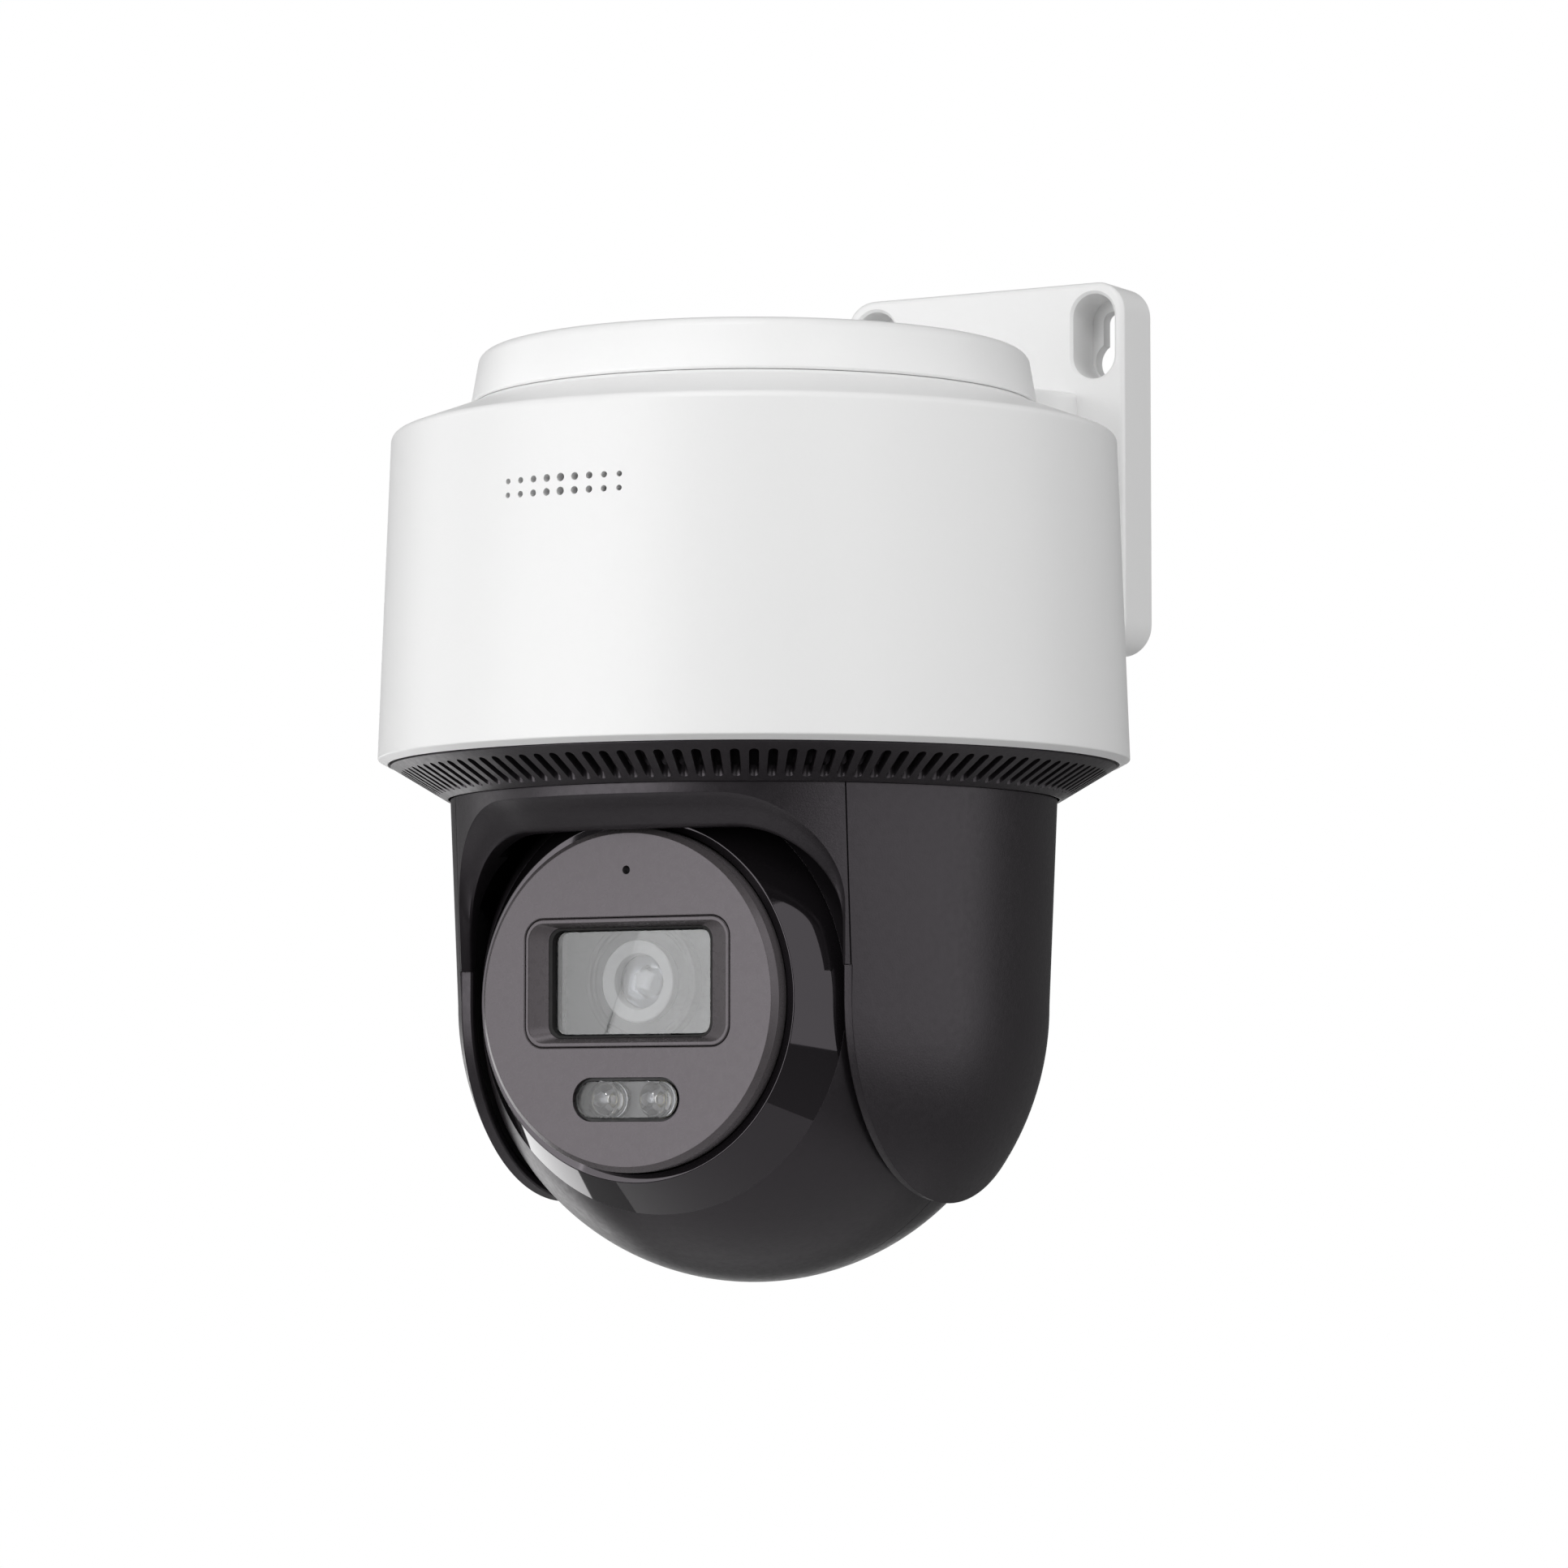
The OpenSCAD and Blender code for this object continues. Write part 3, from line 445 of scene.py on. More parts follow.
def reflector_plastic():
    finish = Finish("grey_reflector", (0.03, 0.03, 0.03), 0.3)
    finish.mottle(300, (0.03, 0.03, 0.03), (0.045, 0.045, 0.045)).patchy(400, 0.1, 0.22)
    return finish.grain(1200, 0.008).material


WHITE = white_plastic()
CHARCOAL = charcoal_plastic()
BALL_BLACK = ball_plastic()
GLOSS_BLACK = gloss_black()
FACE_GREY = face_paint()
INNER_BLACK = inner_plastic()
RUBBER = rubber()
STEEL = machined_steel()
SCREW = screw_steel()
BRASS = brass()
ACETAL = acetal()
BOARD = circuit_board()
PHOSPHOR = phosphor()
PANE = window_pane()
PILL_PANE = pill_pane()
LENS_GLASS = lens_glass()
OPTIC = optic_plastic()
PALE_RING = pale_ring_paint()
REFLECTOR = reflector_plastic()

SLOT_FINISH = {
    "white_housing": WHITE,
    "charcoal_yoke": CHARCOAL,
    "black_inner": INNER_BLACK,
    "black_ball": BALL_BLACK,
    "gloss_collar": GLOSS_BLACK,
    "face_grey": FACE_GREY,
    "lens_ring_grey": PALE_RING,
    "window_glass": PANE,
    "lens_glass": LENS_GLASS,
    "rubber_black": RUBBER,
    "screw_steel": SCREW,
    "machined_steel": STEEL,
    "gear_acetal": ACETAL,
    "pinion_brass": BRASS,
    "circuit_board": BOARD,
    "led_phosphor": PHOSPHOR,
}


def piece(name, shape, material, body, slot, *nodes):
    """Finishes a shape as a piece: places it, shades it, rides it on a body and replaces CAD nodes."""
    shape.transform(PLACE)
    mesh = bpy.data.meshes.new(name)
    shape.to_mesh(mesh)
    shape.free()
    mesh.materials.append(material)
    mesh.shade_smooth()
    mesh.set_sharp_from_angle(angle=math.radians(32))
    made = bpy.data.objects.new(name, mesh)
    bpy.context.scene.collection.objects.link(made)
    even = made.modifiers.new("even_shading", "WEIGHTED_NORMAL")
    even.keep_sharp = True
    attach(made, body)
    if nodes:
        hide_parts(*nodes)
    return made


# ----------------------------------------------------------------------- drum

LIP_TOP_Z = DRUM_LIP_Z + 0.9
SHOULDER_Z = 98.7
DISC_Z = SHOULDER_Z + 0.5
RIM_Z = 93.8
RIM_R = 60.1
WALL_T = 2.2
WALL_LEAN = (DRUM_R - RIM_R) / (RIM_Z - LIP_TOP_Z)
GRILLE_ROWS = (81.2, 79.0)
GRILLE_PITCH = math.radians(2.43)
GRILLE_BIG, GRILLE_STEP = 1.36, 0.11


def wall_r(height):
    return DRUM_R - WALL_LEAN * (height - LIP_TOP_Z)


def drum_shell():
    corners = [
        (DRUM_R - WALL_T, LIP_TOP_Z + 0.3, 0.1),
        (DRUM_R - 1.65, DRUM_LIP_Z, 0.15),
        (DRUM_R, LIP_TOP_Z, 0.35),
        (wall_r(76), 76),
        (wall_r(84), 84),
        (RIM_R, RIM_Z, 1.5),
        (47.4, SHOULDER_Z - 0.25, 0.8),
        (46.4, DISC_Z - 0.07, 0.2),
        (43, DISC_Z - 0.07),
        (40, SHOULDER_Z - 0.8),
        (40, SHOULDER_Z - 3.5),
        (44, SHOULDER_Z - 3.5),
        (RIM_R - WALL_T, RIM_Z - 3),
    ]
    shell = lathe(corners, steps=288, fillet_steps=5)
    holes = []
    for height in GRILLE_ROWS:
        for column in range(-4, 5):
            width = GRILLE_BIG - GRILLE_STEP * abs(column)
            hole = rod(width / 2, 50, 70, FORWARDS, steps=20, at=(0, height))
            hole.transform(Matrix.Rotation(GRILLE_PITCH * column, 4, "Z"))
            holes.append(hole)
    return carve(shell, joined(*holes))


piece("drum_shell", drum_shell(), WHITE, "base", "white_housing", "drum_housing")

# ------------------------------------------------------------------ vent ring

VENT_SLOTS = 120
VENT_INNER = (50.4, 33.5)
VENT_OUTER = (60.0, 39.25)
VENT_T = 1.7
SLOT_W = 1.55
SLOT_FROM, SLOT_TO = 51.9, 58.3


def vent_wedge():
    """One slot's share of the ring, open at both sides so that its neighbours join it."""
    pitch = FULL_TURN / VENT_SLOTS
    corners = [
        (*VENT_INNER, 0.3),
        (*VENT_OUTER, 0.15),
        (VENT_OUTER[0] - 0.3, VENT_OUTER[1] + 0.9),
        (59.3, 46),
        (57.4, 46),
        (57.4, VENT_OUTER[1] + 0.6),
        (VENT_INNER[0], VENT_INNER[1] + VENT_T),
    ]
    wedge = lathe(corners, steps=6, sweep=pitch, fillet_steps=3)
    wedge.transform(Matrix.Rotation(-pitch / 2, 4, "Z"))
    ends = [e for e in wedge.edges if e.is_boundary]
    bmesh.ops.holes_fill(wedge, edges=ends)
    bmesh.ops.recalc_face_normals(wedge, faces=wedge.faces)
    narrow = SLOT_W / 2
    outline = round_rect(SLOT_TO - SLOT_FROM, SLOT_W, narrow - 0.01, 5)
    slot = slab(outline, 30, 43)
    moved(slot, (SLOT_FROM + SLOT_TO) / 2, 0, 0)
    wedge = carve(wedge, slot)
    side = math.tan(pitch / 2)
    caps = [
        f for f in wedge.faces if all(abs(abs(v.co.y) - v.co.x * side) < 1e-3 for v in f.verts)
    ]
    bmesh.ops.delete(wedge, geom=caps, context="FACES")
    return wedge


def vent_ring():
    ring = vent_wedge()
    geometry = ring.verts[:] + ring.edges[:] + ring.faces[:]
    bmesh.ops.spin(
        ring,
        geom=geometry,
        cent=(0, 0, 0),
        axis=(0, 0, 1),
        angle=FULL_TURN,
        steps=VENT_SLOTS,
        use_duplicate=True,
    )
    return tidy(ring)


piece("vent_grille_ring", vent_ring(), CHARCOAL, "base", "black_inner", "vent_ring")

# -------------------------------------------------------------------- bracket

DISC_R = 47.0
ARM_HALF = 18.8
ARM_END_TOP_Z = 110.7
ARM_START_Y = 43
PLATE_T = 11
PLATE_W = 56.0
PLATE_H = 66.0
PLATE_TOP = PLATE_HIGH.z
PLATE_Z = PLATE_TOP - PLATE_H / 2
PLATE_Y = WALL_Y - PLATE_T
KEYHOLE_X = 22
KEYHOLE_TOP = PLATE_TOP - 6.1
KEYHOLE_DROP = 7.0
KEYHOLE_FLOOR = PLATE_Y + 8.4
CABLE_Z = PLATE_Z - 12


def slot_outline(radius, drop):
    """A keyhole recess's outline: two round ends, one above the other."""
    return round_rect(2 * radius, 2 * radius + drop, radius - 0.01, 10)


def keyhole(x):
    middle = KEYHOLE_TOP - KEYHOLE_DROP / 2
    recess = slab(slot_outline(4.1, KEYHOLE_DROP), -KEYHOLE_FLOOR, -PLATE_Y + 5, FORWARDS)
    flare = loft(
        [
            level(slot_outline(4.1, KEYHOLE_DROP), -PLATE_Y - 0.5),
            level(slot_outline(4.5, KEYHOLE_DROP), -PLATE_Y - 0.08),
            level(slot_outline(5.0, KEYHOLE_DROP), -PLATE_Y + 0.3),
        ],
        FORWARDS,
    )
    entry = moved(rod(3.6, -WALL_Y - 1, -KEYHOLE_FLOOR + 1, FORWARDS), 0, 0, -KEYHOLE_DROP / 2)
    narrow = slab(slot_outline(2.0, KEYHOLE_DROP), -WALL_Y - 1, -KEYHOLE_FLOOR + 1, FORWARDS)
    return [moved(part, x, 0, middle) for part in (recess, flare, entry, narrow)]


def arm_section(top):
    """The arm's round-cornered cross-section, from the disc's underside up to a top height."""
    middle, half = (top + DISC_Z) / 2, (top - DISC_Z) / 2
    return [(x, middle + z) for x, z in round_rect(2 * ARM_HALF, 2 * half, 1.4, 5)]


def bracket():
    disc = lathe(
        [(0, DISC_Z), (DISC_R, DISC_Z, 0.5), (DISC_R - 1.5, BRACKET_TOP_Z, 2.0), (0, BRACKET_TOP_Z)],
        steps=256,
        closed=False,
        fillet_steps=8,
    )
    arm_start = level(arm_section(BRACKET_TOP_Z), -ARM_START_Y)
    arm_end = level(arm_section(ARM_END_TOP_Z), -(PLATE_Y + 2))
    arm = loft([arm_end, arm_start], FORWARDS)
    gusset_side = [(66, DISC_Z + 2), (66, 90, 3), (72, 80, 6), (PLATE_Y + 2, 75.5), (PLATE_Y + 2, DISC_Z + 2)]
    gusset = slab(rounded(gusset_side, 6), -ARM_HALF + 0.02, ARM_HALF - 0.02, SIDEWAYS)
    plate = slab(round_rect(PLATE_W, PLATE_H, 5.5, 10), -WALL_Y, -PLATE_Y, FORWARDS, edge=0.9)
    moved(plate, 0, 0, PLATE_Z)
    whole = carve(plate, gusset, arm, disc, how="UNION")
    cutters = keyhole(KEYHOLE_X) + keyhole(-KEYHOLE_X)
    for x in (-KEYHOLE_X, KEYHOLE_X):
        cutters.append(rod(2.25, -WALL_Y - 1, -PLATE_Y + 1, FORWARDS, at=(x, PLATE_Z - PLATE_H / 2 + 8)))
    cutters.append(rod(7, -WALL_Y - 1, -PLATE_Y - 1, FORWARDS, at=(0, CABLE_Z)))
    return carve(whole, *cutters)


piece("bracket_moulding", bracket(), WHITE, "base", "white_housing", "wall_bracket")

# ----------------------------------------------------------------------- yoke

BARREL_TOP_R = 50.1
BARREL_LOW_R = 48.7
BARREL_TOP_Z = 33.7
COVER_TOP_Z = 46.8
NECK_R = 49.6
SEAM_X = 36.4
SEAM_GAP = 0.09
RIM_X = 34.6
RIM_SEAM_Z = 5.2
COVER_T = 1.9
RIM_TIP_R, RIM_EDGE_R = 31.9, 32.35
PLATE_ROOM_R = 30.9


def yoke_form(inset, steps=256):
    """The yoke's outer form: a barrel with a round lower end, as one solid of revolution."""
    low, top = BARREL_LOW_R - inset, BARREL_TOP_R - inset
    corners = arc(low, -90, 0, 48)
    corners[0] = (0, -low)
    corners += [(top, BARREL_TOP_Z), (NECK_R - inset, BARREL_TOP_Z + 0.3)]
    corners += [(NECK_R - inset, COVER_TOP_Z + inset), (0, COVER_TOP_Z + inset)]
    return lathe(corners, steps=steps, closed=False)


def barrel_y(x):
    return -math.sqrt(BARREL_TOP_R**2 - x * x)


def inner_edge_y(x):
    return -44 * math.sqrt(1 - (x / 51.3) ** 2)


ARCH_OUTER = (SEAM_X, 31.9, 16.5)
ARCH_INNER = (34.7, 27.1, 15.5)
ARCH_CORNER_STEPS = 24
ARCH_TOP_STEPS = 22
ARCH_SIDE_STEPS = 10
ARCH_FOOT_Z = -10


def arch_outline(half_w, top, corner):
    """The arch opening's outline, closed along its foot, with the same point count at any size."""
    rise = top - corner - ARCH_FOOT_Z
    side = [(-half_w, ARCH_FOOT_Z + rise * i / ARCH_SIDE_STEPS) for i in range(ARCH_SIDE_STEPS)]
    bend = [
        (-half_w + corner + corner * x, top - corner + corner * z)
        for x, z in arc(1, 180, 90, ARCH_CORNER_STEPS)
    ]
    left = side + bend
    reach = half_w - corner
    across = [(-reach + 2 * reach * i / ARCH_TOP_STEPS, top) for i in range(1, ARCH_TOP_STEPS)]
    right = [(-x, z) for x, z in reversed(left)]
    return left + across + right


def between(a, b, share):
    return [tuple(p + (q - p) * share for p, q in zip(one, two)) for one, two in zip(a, b)]


def arch_cutter():
    """The arch opening: a dished band from its outer to its inner edge, and both edges rounded."""
    outer, inner = arch_outline(*ARCH_OUTER), arch_outline(*ARCH_INNER)
    outer_3d = [(x, barrel_y(x), z) for x, z in outer]
    inner_3d = [(x, inner_edge_y(x), z) for x, z in inner]
    wide = arch_outline(SEAM_X + 0.02, 32.4, 16.8)
    rows = [[(x, -60, z) for x, z in wide]]
    rows.append([(x, barrel_y(x) - 0.1, z) for x, z in wide])
    rows.append([(x, barrel_y(x) + 0.12, z) for x, z in arch_outline(SEAM_X, 32.05, 16.6)])
    for share, dish in ((0.1, 0.08), (0.35, 0.28), (0.65, 0.3), (0.9, 0.1)):
        row = between(outer_3d, inner_3d, share)
        rows.append([(x, y + dish, z + dish * 0.6 * (z > 15)) for x, y, z in row])
    rows.append([(x, y + 0.25, z) for x, y, z in inner_3d])
    rows.append([(x * 0.999, y + 0.7, z - 0.12) for x, y, z in inner_3d])
    rows.append([(x * 0.999, -12, z - 0.12) for x, z in inner])
    return loft(rows)


def ball_form(inset, steps=192, fillet=0.6):
    """The ball between its flat sides, turned about the tilt axis."""
    radius, half = BALL_R - inset, BALL_HALF_W - inset
    edge = math.degrees(math.asin(half / radius))
    side_r = math.sqrt(radius**2 - half**2)
    corners = [(0, -half), (side_r - fillet, -half)] + arc(radius, -edge + 0.6, edge - 0.6, 72)
    corners += [(side_r - fillet, half), (0, half)]
    return lathe(corners, SIDEWAYS, steps, closed=False)


def front_cover():
    reach = SEAM_X - SEAM_GAP
    room = block((-reach, -60, RIM_SEAM_Z + SEAM_GAP), (reach, -30.5, 60))
    cover = carve(yoke_form(0), room, how="INTERSECT")
    sweep_room = carve(
        lathe([(0, -49.9)] + arc(49.9, -89, 89, 72) + [(0, 49.9)], steps=192, closed=False),
        block((-28.6, -60, -60), (28.6, 60, 60)),
        how="INTERSECT",
    )
    hollow = rod(NECK_R - COVER_T, 36, 60, steps=192)
    cavity = lathe([(0, -46.8)] + arc(46.8, -89, 89, 72) + [(0, 46.8)], steps=192, closed=False)
    return carve(cover, cavity, sweep_room, hollow, arch_cutter())


piece("yoke_front_arch", front_cover(), CHARCOAL, "pan_head", "charcoal_yoke", "yoke_front_cover")
rear_arch = front_cover()
rear_arch.transform(Matrix.Scale(-1, 4, (0, 1, 0)))
bmesh.ops.reverse_faces(rear_arch, faces=rear_arch.faces)
piece("yoke_rear_arch", rear_arch, CHARCOAL, "pan_head", "charcoal_yoke", "yoke_rear_cover")


def stadium(radius, steps=64):
    """Half a circle below the tilt centre, carried straight up to the seam: (y, z) points."""
    below = arc(radius, 180, 360, steps)
    return below + [(radius, RIM_SEAM_Z), (-radius, RIM_SEAM_Z)]


def side_keep():
    """What belongs to a side cover: a bevelled rim below the seam and the arm's outside above it."""
    slope = (RIM_EDGE_R - RIM_TIP_R) / (SEAM_X - RIM_X)
    rims = [
        (RIM_TIP_R - 0.35, RIM_X),
        (RIM_TIP_R - 0.08, RIM_X + 0.08),
        (RIM_TIP_R + 0.12, RIM_X + 0.3),
        (RIM_EDGE_R - 0.12, SEAM_X - 0.2),
        (RIM_EDGE_R + 0.05, SEAM_X + 0.12),
        (RIM_EDGE_R + slope + 0.5, SEAM_X + 1.2),
        (60, SEAM_X + 1.3),
        (60, 60),
    ]
    lower = loft([level(stadium(radius), x) for radius, x in rims], SIDEWAYS)
    upper = block((SEAM_X + SEAM_GAP, -60, RIM_SEAM_Z - 0.001), (60, 60, 60))
    return carve(lower, upper, how="UNION")


def side_cover(side):
    cover = carve(yoke_form(0), side_keep(), how="INTERSECT")
    inside = carve(yoke_form(COVER_T), block((SEAM_X - 0.1, -60, -60), (60, 60, 60)), how="INTERSECT")
    plate_room = rod(PLATE_ROOM_R, 30, SEAM_X, SIDEWAYS, steps=96)
    upper_room = block((30, -PLATE_ROOM_R, 0), (SEAM_X, PLATE_ROOM_R, 60))
    cover = carve(cover, inside, plate_room, upper_room)
    if side < 0:
        cover.transform(Matrix.Scale(-1, 4, (1, 0, 0)))
        bmesh.ops.reverse_faces(cover, faces=cover.faces)
    return cover


piece("yoke_side_right", side_cover(1), CHARCOAL, "pan_head", "charcoal_yoke", "side_cover_right")
piece("yoke_side_left", side_cover(-1), CHARCOAL, "pan_head", "charcoal_yoke", "side_cover_left")

# ----------------------------------------------------------------------- ball

BALL_T = 2.4
SEAM_Y = 1.5
COLLAR_Y = 30.0
COLLAR_TIP_Y = 37.7
COLLAR_TIP_R = 29.0
COLLAR_INNER_R = 27.65
COLLAR_R = math.sqrt(BALL_R**2 - COLLAR_Y**2) - 0.01
CARD_W, CARD_H, CARD_Z = 26, 14, -6
BALL_SCREW = 24
BALL_SCREW_SPOTS = [(x, z) for x in (-BALL_SCREW, BALL_SCREW) for z in (-BALL_SCREW, BALL_SCREW)]
AXLE_HOLE_R = 4.1
SEAM_HALF_GAP = 0.06


def ball_shell():
    return carve(ball_form(0, 256), ball_form(BALL_T, 96, 0.3))


def ball_front():
    front = block((-60, -COLLAR_Y, -60), (60, SEAM_Y - SEAM_HALF_GAP, 60))
    shell = carve(ball_shell(), front, how="INTERSECT")
    return carve(shell, rod(AXLE_HOLE_R, -60, 60, SIDEWAYS))


def ball_rear():
    rear = block((-60, SEAM_Y + SEAM_HALF_GAP, -60), (60, 60, 60))
    shell = carve(ball_shell(), rear, how="INTERSECT")
    cutters = [rod(AXLE_HOLE_R, -60, 60, SIDEWAYS)]
    hatch = slab(round_rect(CARD_W, CARD_H, 4, 8), -60, -30, FORWARDS)
    cutters.append(moved(hatch, 0, 0, CARD_Z))
    cutters += [rod(2.4, -60, -20, FORWARDS, at=spot, steps=32) for spot in BALL_SCREW_SPOTS]
    shell = carve(shell, *cutters)
    section = [(1.3, -28), (3.2, -28), (3.2, -29.4), (2.42, -29.4), (2.42, -25.5), (1.3, -25.5)]
    wells = [moved(lathe(section, FORWARDS, steps=32), x, 0, z) for x, z in BALL_SCREW_SPOTS]
    return joined(shell, *wells)


def card_hatch():
    plate = slab(round_rect(CARD_W - 0.4, CARD_H - 0.4, 3.8, 8), -60, -30, FORWARDS)
    moved(plate, 0, 0, CARD_Z)
    hatch = carve(carve(ball_form(0.1, 256), ball_form(2, 96)), plate, how="INTERSECT")
    notch = rod(1.6, -3, 3, FORWARDS, steps=32)
    return carve(hatch, moved(notch, 0, BALL_R + 1.6, CARD_Z + 5))


piece("ball_front_half", ball_front(), BALL_BLACK, "camera_ball", "black_ball", "ball_front_shell")
piece("ball_rear_half", ball_rear(), BALL_BLACK, "camera_ball", "black_ball", "ball_rear_shell")
piece("card_hatch", card_hatch(), BALL_BLACK, "camera_ball", "black_ball", "card_cover")

collar = lathe(
    [
        (COLLAR_R, COLLAR_Y),
        (COLLAR_TIP_R, COLLAR_TIP_Y, 0.25),
        (COLLAR_INNER_R, COLLAR_TIP_Y - 0.3),
        (COLLAR_INNER_R, 33.5),
        (31.0, COLLAR_Y),
    ],
    FORWARDS,
    steps=256,
    fillet_steps=5,
)
piece("gloss_collar", collar, GLOSS_BLACK, "camera_ball", "gloss_collar", "collar_ring")

# ----------------------------------------------------------------------- face

WINDOW_W, WINDOW_H, WINDOW_Z = 38.0, 20.7, 2.8
PILL_W, PILL_H, PILL_Z = 19.8, 7.0, -15.8
MIC_Z = 20.6
LENS_Z = 3.0
NECK_FACE_R = 26.6


def face():
    corners = [
        (0, FACE_Y),
        (FACE_R - 0.9, FACE_Y, 0.15),
        (FACE_R, FACE_Y - 0.9, 0.25),
        (FACE_R, 37, 0.2),
        (NECK_FACE_R, 37),
        (NECK_FACE_R, COLLAR_Y + 0.5),
        (NECK_FACE_R - 1.6, COLLAR_Y + 0.5),
        (NECK_FACE_R - 1.6, FACE_Y - 2.5),
        (0, FACE_Y - 2.5),
    ]
    disc = lathe(corners, FORWARDS, steps=256, closed=False)
    window = slab(round_rect(WINDOW_W, WINDOW_H, 3.4, 10), 30, 50, FORWARDS)
    window_edge = loft(
        [
            level(round_rect(WINDOW_W, WINDOW_H, 3.4, 10), FACE_Y - 0.15),
            level(round_rect(WINDOW_W + 0.6, WINDOW_H + 0.6, 3.7, 10), FACE_Y + 0.15),
        ],
        FORWARDS,
    )
    pill = slab(round_rect(PILL_W, PILL_H, PILL_H / 2 - 0.01, 12), 30, 50, FORWARDS)
    cutters = [moved(window, 0, 0, WINDOW_Z), moved(window_edge, 0, 0, WINDOW_Z), moved(pill, 0, 0, PILL_Z)]
    cutters.append(rod(0.7, 30, 50, FORWARDS, at=(0, MIC_Z), steps=32))
    return carve(disc, *cutters)


piece("face_disc", face(), FACE_GREY, "camera_ball", "face_grey", "face_plate")


def bezel():
    """A frame with a sloping funnel down to a short straight step over the glass."""
    sizes = [
        (WINDOW_W - 0.3, WINDOW_H - 0.3, 3.25, 3.6),
        (WINDOW_W - 0.3, WINDOW_H - 0.3, 3.25, 0.15),
        (WINDOW_W - 0.6, WINDOW_H - 0.6, 3.15, 0),
        (36.7, 19.2, 2.8, 0),
        (36.4, 18.9, 2.7, 0.12),
        (30.4, 17.6, 2.2, 1.2),
        (30.4, 17.6, 2.2, 3.6),
    ]
    return window_ring(sizes)


def window_ring(sizes):
    """A closed frame through rounded rectangles of (width, height, corner, depth behind the face)."""
    rows = [level(round_rect(w, h, corner, 10), FACE_Y - depth) for w, h, corner, depth in sizes]
    return moved(loft(rows, FORWARDS, capped=False), 0, 0, WINDOW_Z)


def window_gasket():
    return window_ring(
        [(30.3, 17.5, 2.2, 3.5), (30.3, 17.5, 2.2, 1.25), (29.3, 16.9, 2.0, 1.45), (29.1, 16.7, 2.0, 3.5)]
    )


piece("window_frame", bezel(), FACE_GREY, "camera_ball", "face_grey", "window_bezel")
piece("window_gasket", window_gasket(), RUBBER, "camera_ball", "rubber_black")

GLASS_FRONT = FACE_Y - 2.3
pane = slab(round_rect(28.9, 16.5, 1.95, 10), GLASS_FRONT - 1.1, GLASS_FRONT, FORWARDS, edge=0.12)
piece("window_pane", moved(pane, 0, 0, WINDOW_Z), PANE, "camera_ball", "window_glass", "window_glass")


def lens_barrel():
    """The lens barrel: a wide tube whose dark front face steps down towards the pale ring."""
    corners = [
        (8.0, 10), (8.0, 16, 0.3), (10.2, 16, 0.3), (10.2, 35.7, 0.25), (9.4, 35.7, 0.1), (9.2, 35.35),
        (8.8, 35.3), (8.6, 35.0, 0.05), (6.7, 35.0), (6.7, 34.0), (6.5, 34.0), (6.5, 10),
    ]
    return lathe(corners, FORWARDS, steps=96)


def lens_ring():
    corners = [
        (6.6, 34.6), (6.6, 36.5, 0.2), (6.3, 36.6, 0.1), (4.5, 36.2, 0.2), (4.3, 35.6, 0.1), (4.3, 34.6),
    ]
    return lathe(corners, FORWARDS, steps=96)


def lens_front():
    dome = [(radius, height + 28.6) for radius, height in arc(7.2, 53, 89, 16)]
    return lathe([(0, 32.5), (4.2, 32.5), *dome, (0, 35.8)], FORWARDS, steps=96, closed=False)


def pupil():
    """The bladed stop behind the front glass."""
    return lathe([(2.2, 31.8), (4.3, 31.8), (4.3, 32.3), (2.2, 32.3)], FORWARDS, steps=7)


for name, shape, material, slot, node in (
    ("lens_barrel_turned", lens_barrel(), INNER_BLACK, "black_inner", "lens_barrel"),
    ("lens_front_ring", lens_ring(), PALE_RING, "lens_ring_grey", "lens_retaining_ring"),
    ("lens_front_glass", lens_front(), LENS_GLASS, "lens_glass", "lens_front_element"),
):
    piece(name, moved(shape, 0, 0, LENS_Z), material, "camera_ball", slot, node)
piece("lens_pupil", moved(pupil(), 0, 0, LENS_Z), PALE_RING, "camera_ball", "lens_ring_grey")
baffle = slab(round_rect(30.6, 18.2, 2, 8), 33.0, 33.6, FORWARDS)
baffle = carve(moved(baffle, 0, 0, WINDOW_Z), rod(10.25, 30, 36, FORWARDS, steps=96, at=(0, LENS_Z)))
piece("window_baffle", baffle, INNER_BLACK, "camera_ball", "black_inner")

# ----------------------------------------------------------------- light pill

LED_X = 4.4


def optic_cup(x):
    """A moulded light guide: a cone with a rounded rim, a dished front and a pocket for the emitter."""
    corners = [
        (0, 34.4), (1.1, 34.4), (1.2, 33.3), (1.7, 33.2, 0.1), (2.95, 38.6, 0.2), (2.5, 39.1, 0.15),
        (1.9, 38.4, 0.2), (0.8, 36.9, 0.2), (0, 37.3),
    ]
    return moved(lathe(corners, FORWARDS, steps=48, closed=False), x, 0, PILL_Z)


def pill(width, height, bottom, top, edge=0.0):
    """A slab with round ends behind the light window."""
    outline = round_rect(width, height, height / 2 - 0.01, 12)
    return moved(slab(outline, bottom, top, FORWARDS, edge=edge), 0, 0, PILL_Z)


def pill_tray():
    """A dark tray behind the light guides, with a cup round each one."""
    cups = [
        moved(lathe([(0, 32.9), (1.9, 32.9), (3.05, 37), (0, 37)], FORWARDS, 48, closed=False), x, 0, PILL_Z)
        for x in (-LED_X, LED_X)
    ]
    return carve(pill(PILL_W - 1.4, PILL_H - 1.4, 32.4, 36.6), *cups)


def bright_cup(x):
    """The metallised lining of one cup in the tray."""
    corners = [(1.98, 33.3), (3.0, 36.75), (3.0, 37.3, 0.08), (2.86, 37.3), (1.8, 33.3)]
    return moved(lathe(corners, FORWARDS, steps=64), x, 0, PILL_Z)


def pill_gasket():
    return carve(pill(PILL_W - 0.1, PILL_H - 0.1, 36, FACE_Y - 0.7), pill(PILL_W - 1, PILL_H - 1, 30, 50))


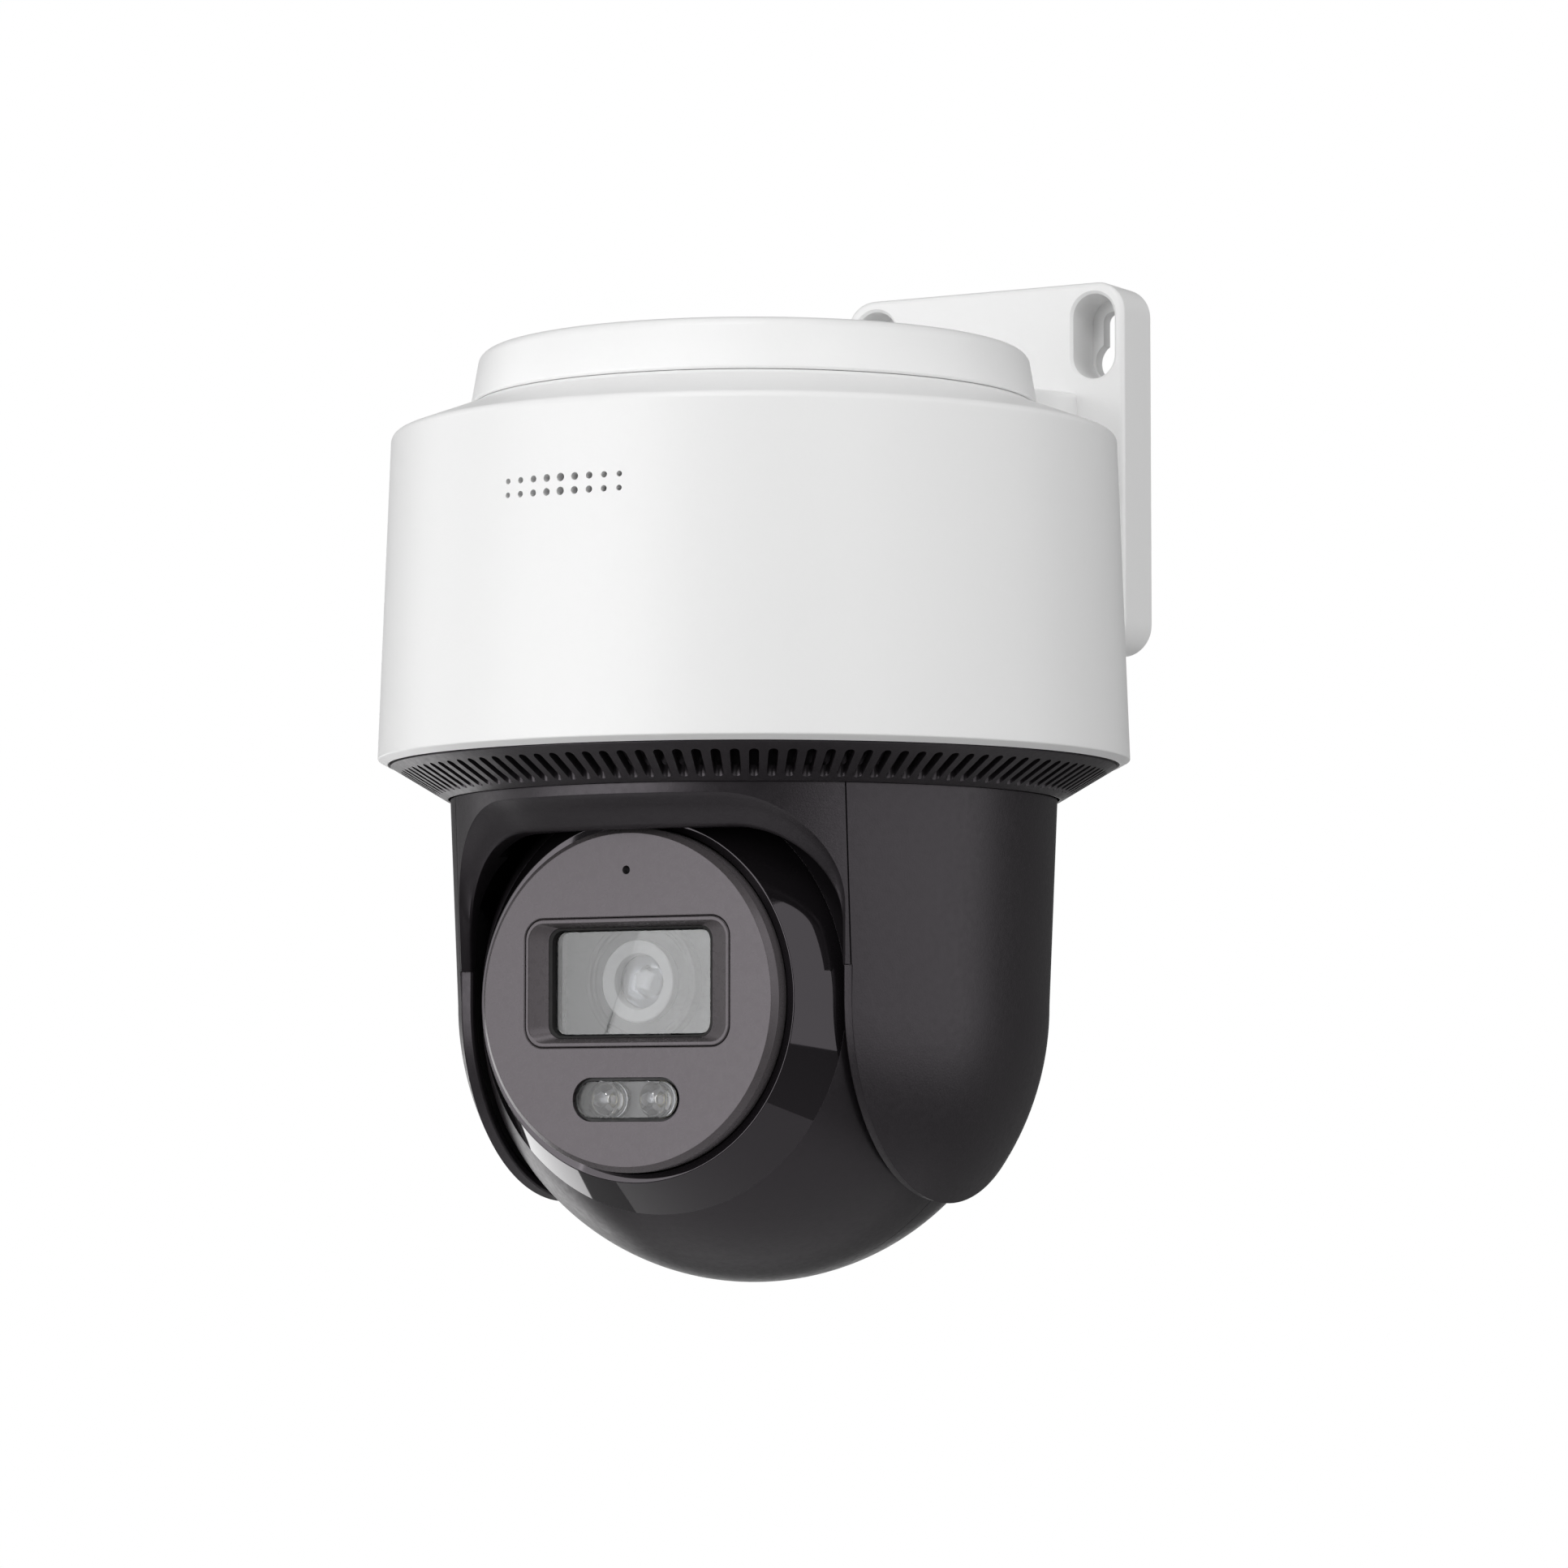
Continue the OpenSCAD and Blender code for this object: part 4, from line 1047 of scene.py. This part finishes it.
cover = pill(PILL_W - 1.05, PILL_H - 1.05, FACE_Y - 1.25, FACE_Y - 0.05, edge=0.2)
piece("pill_cover", cover, PILL_PANE, "camera_ball", "window_glass", "led_cover")
guides = joined(optic_cup(-LED_X), optic_cup(LED_X))
piece("pill_light_guides", guides, OPTIC, "camera_ball", "window_glass", "led_optics")
piece("pill_reflector", pill_tray(), REFLECTOR, "camera_ball", "lens_ring_grey")
bright_cups = joined(bright_cup(-LED_X), bright_cup(LED_X))
piece("pill_bright_cups", bright_cups, STEEL, "camera_ball", "machined_steel")
piece("pill_gasket", pill_gasket(), INNER_BLACK, "camera_ball", "black_inner")

# ------------------------------------------------- CAD nodes that show as they are

SLOT_OF_NODE = {part["node"]: part["material_slot"] for part in frame["record"]["subparts"]}
for node, part in frame["nodes"].items():
    part.data.materials.clear()
    part.data.materials.append(SLOT_FINISH[SLOT_OF_NODE[node]])

# ---------------------------------------------------------------------- stage

FLOOR_Z = -0.8
FLOOR_HALF = 0.6


def stage_material(name, colour, glow):
    material = bpy.data.materials.new(name)
    material.use_nodes = True
    shader = material.node_tree.nodes["Principled BSDF"]
    shader.inputs["Base Color"].default_value = (*colour, 1)
    shader.inputs["Roughness"].default_value = 0.9
    shader.inputs["Emission Color"].default_value = (1, 1, 1, 1)
    shader.inputs["Emission Strength"].default_value = glow
    return material


floor_shape = bmesh.new()
bmesh.ops.create_grid(floor_shape, x_segments=1, y_segments=1, size=FLOOR_HALF)
floor_mesh = bpy.data.meshes.new("floor")
floor_shape.to_mesh(floor_mesh)
floor = bpy.data.objects.new("floor", floor_mesh)
floor.location.z = FLOOR_Z
floor_mesh.materials.append(stage_material("pale_floor", (0.8, 0.8, 0.8), 0.0))
bpy.context.scene.collection.objects.link(floor)

world = bpy.data.worlds.new("white_studio")
world.use_nodes = True
bpy.context.scene.world = world
nodes, links = world.node_tree.nodes, world.node_tree.links
backdrop = nodes["Background"]
backdrop.inputs["Color"].default_value = (1, 1, 1, 1)
direction = nodes.new("ShaderNodeTexCoord")
height = nodes.new("ShaderNodeSeparateXYZ")
from_below = nodes.new("ShaderNodeMapRange")
for socket, value in (("From Min", -1), ("From Max", 0), ("To Min", 0.25), ("To Max", 0.11)):
    from_below.inputs[socket].default_value = value
links.new(direction.outputs["Generated"], height.inputs["Vector"])
links.new(height.outputs["Z"], from_below.inputs["Value"])
links.new(from_below.outputs["Result"], backdrop.inputs["Strength"])
seen = nodes.new("ShaderNodeBackground")
seen.inputs["Color"].default_value = (1, 1, 1, 1)
seen.inputs["Strength"].default_value = 1.0
sight = nodes.new("ShaderNodeLightPath")
blend = nodes.new("ShaderNodeMixShader")
links.new(sight.outputs["Is Camera Ray"], blend.inputs["Fac"])
links.new(backdrop.outputs["Background"], blend.inputs[1])
links.new(seen.outputs["Background"], blend.inputs[2])
links.new(blend.outputs["Shader"], nodes["World Output"].inputs["Surface"])

LOOK_AT = TILT_CENTRE + Vector((0, 0, 0.045))


def soft_light(name, azimuth, elevation, distance, width, height, power, roll=0.0):
    """An area light round the object: azimuth 0 is in front of it and 90 is at +X, in degrees."""
    light = bpy.data.lights.new(name, "AREA")
    light.shape = "RECTANGLE"
    light.size, light.size_y = width, height
    light.energy = power
    lamp = bpy.data.objects.new(name, light)
    bpy.context.scene.collection.objects.link(lamp)
    a, e = math.radians(azimuth), math.radians(elevation)
    away = Vector((math.sin(a) * math.cos(e), -math.cos(a) * math.cos(e), math.sin(e)))
    lamp.location = LOOK_AT + away * distance
    lamp.rotation_mode = "QUATERNION"
    rolled = Matrix.Rotation(math.radians(roll), 3, "Z").to_quaternion()
    lamp.rotation_quaternion = away.to_track_quat("Z", "Y") @ rolled
    return lamp


soft_light("front_left_box", -13.7, 3, 1.0, 0.52, 0.8, 4.2, roll=-20)
soft_light("front_far_left_box", -41.64, 0, 1.0, 0.3835, 0.8, 2.3, roll=-20)
soft_light("right_wall", 93, 12, 1.2, 1.65, 1.6, 9.5)
soft_light("right_strip", 55, 20, 1.2, 0.3, 1.0, 1.1)
soft_light("low_left_box", -119, -18, 1.0, 0.5, 0.5, 1.3)
soft_light("left_strip", -85, 5, 1.2, 0.5, 1.2, 2.2)
soft_light("rear_left_box", -150, 0, 1.2, 0.5, 1.0, 1.2)
soft_light("overhead_box", 0, 75, 1.1, 0.8, 0.8, 1.8)
soft_light("over_camera_box", 10, 45, 1.2, 0.6, 0.5, 3.4)

# --------------------------------------------------------------------- camera

VIEW_AZIMUTH = 30.0
VIEW_DISTANCE = 0.904
VIEW_DROP = 0.0242
VIEW_PITCH = 3.85
VIEW_TURN = 0.314
LENS_LENGTH = 125.8
SENSOR_WIDTH = 36

a = math.radians(VIEW_AZIMUTH)
camera = bpy.data.objects.new("camera", bpy.data.cameras.new("camera"))
camera.location = TILT_CENTRE + Vector((math.sin(a), -math.cos(a), 0)) * VIEW_DISTANCE
camera.location.z -= VIEW_DROP
camera.rotation_euler = (math.radians(90 + VIEW_PITCH), 0, math.radians(VIEW_AZIMUTH - VIEW_TURN))
camera.data.lens = LENS_LENGTH
camera.data.sensor_width = SENSOR_WIDTH
bpy.context.scene.collection.objects.link(camera)
bpy.context.scene.camera = camera
bpy.context.scene.view_settings.view_transform = "Standard"
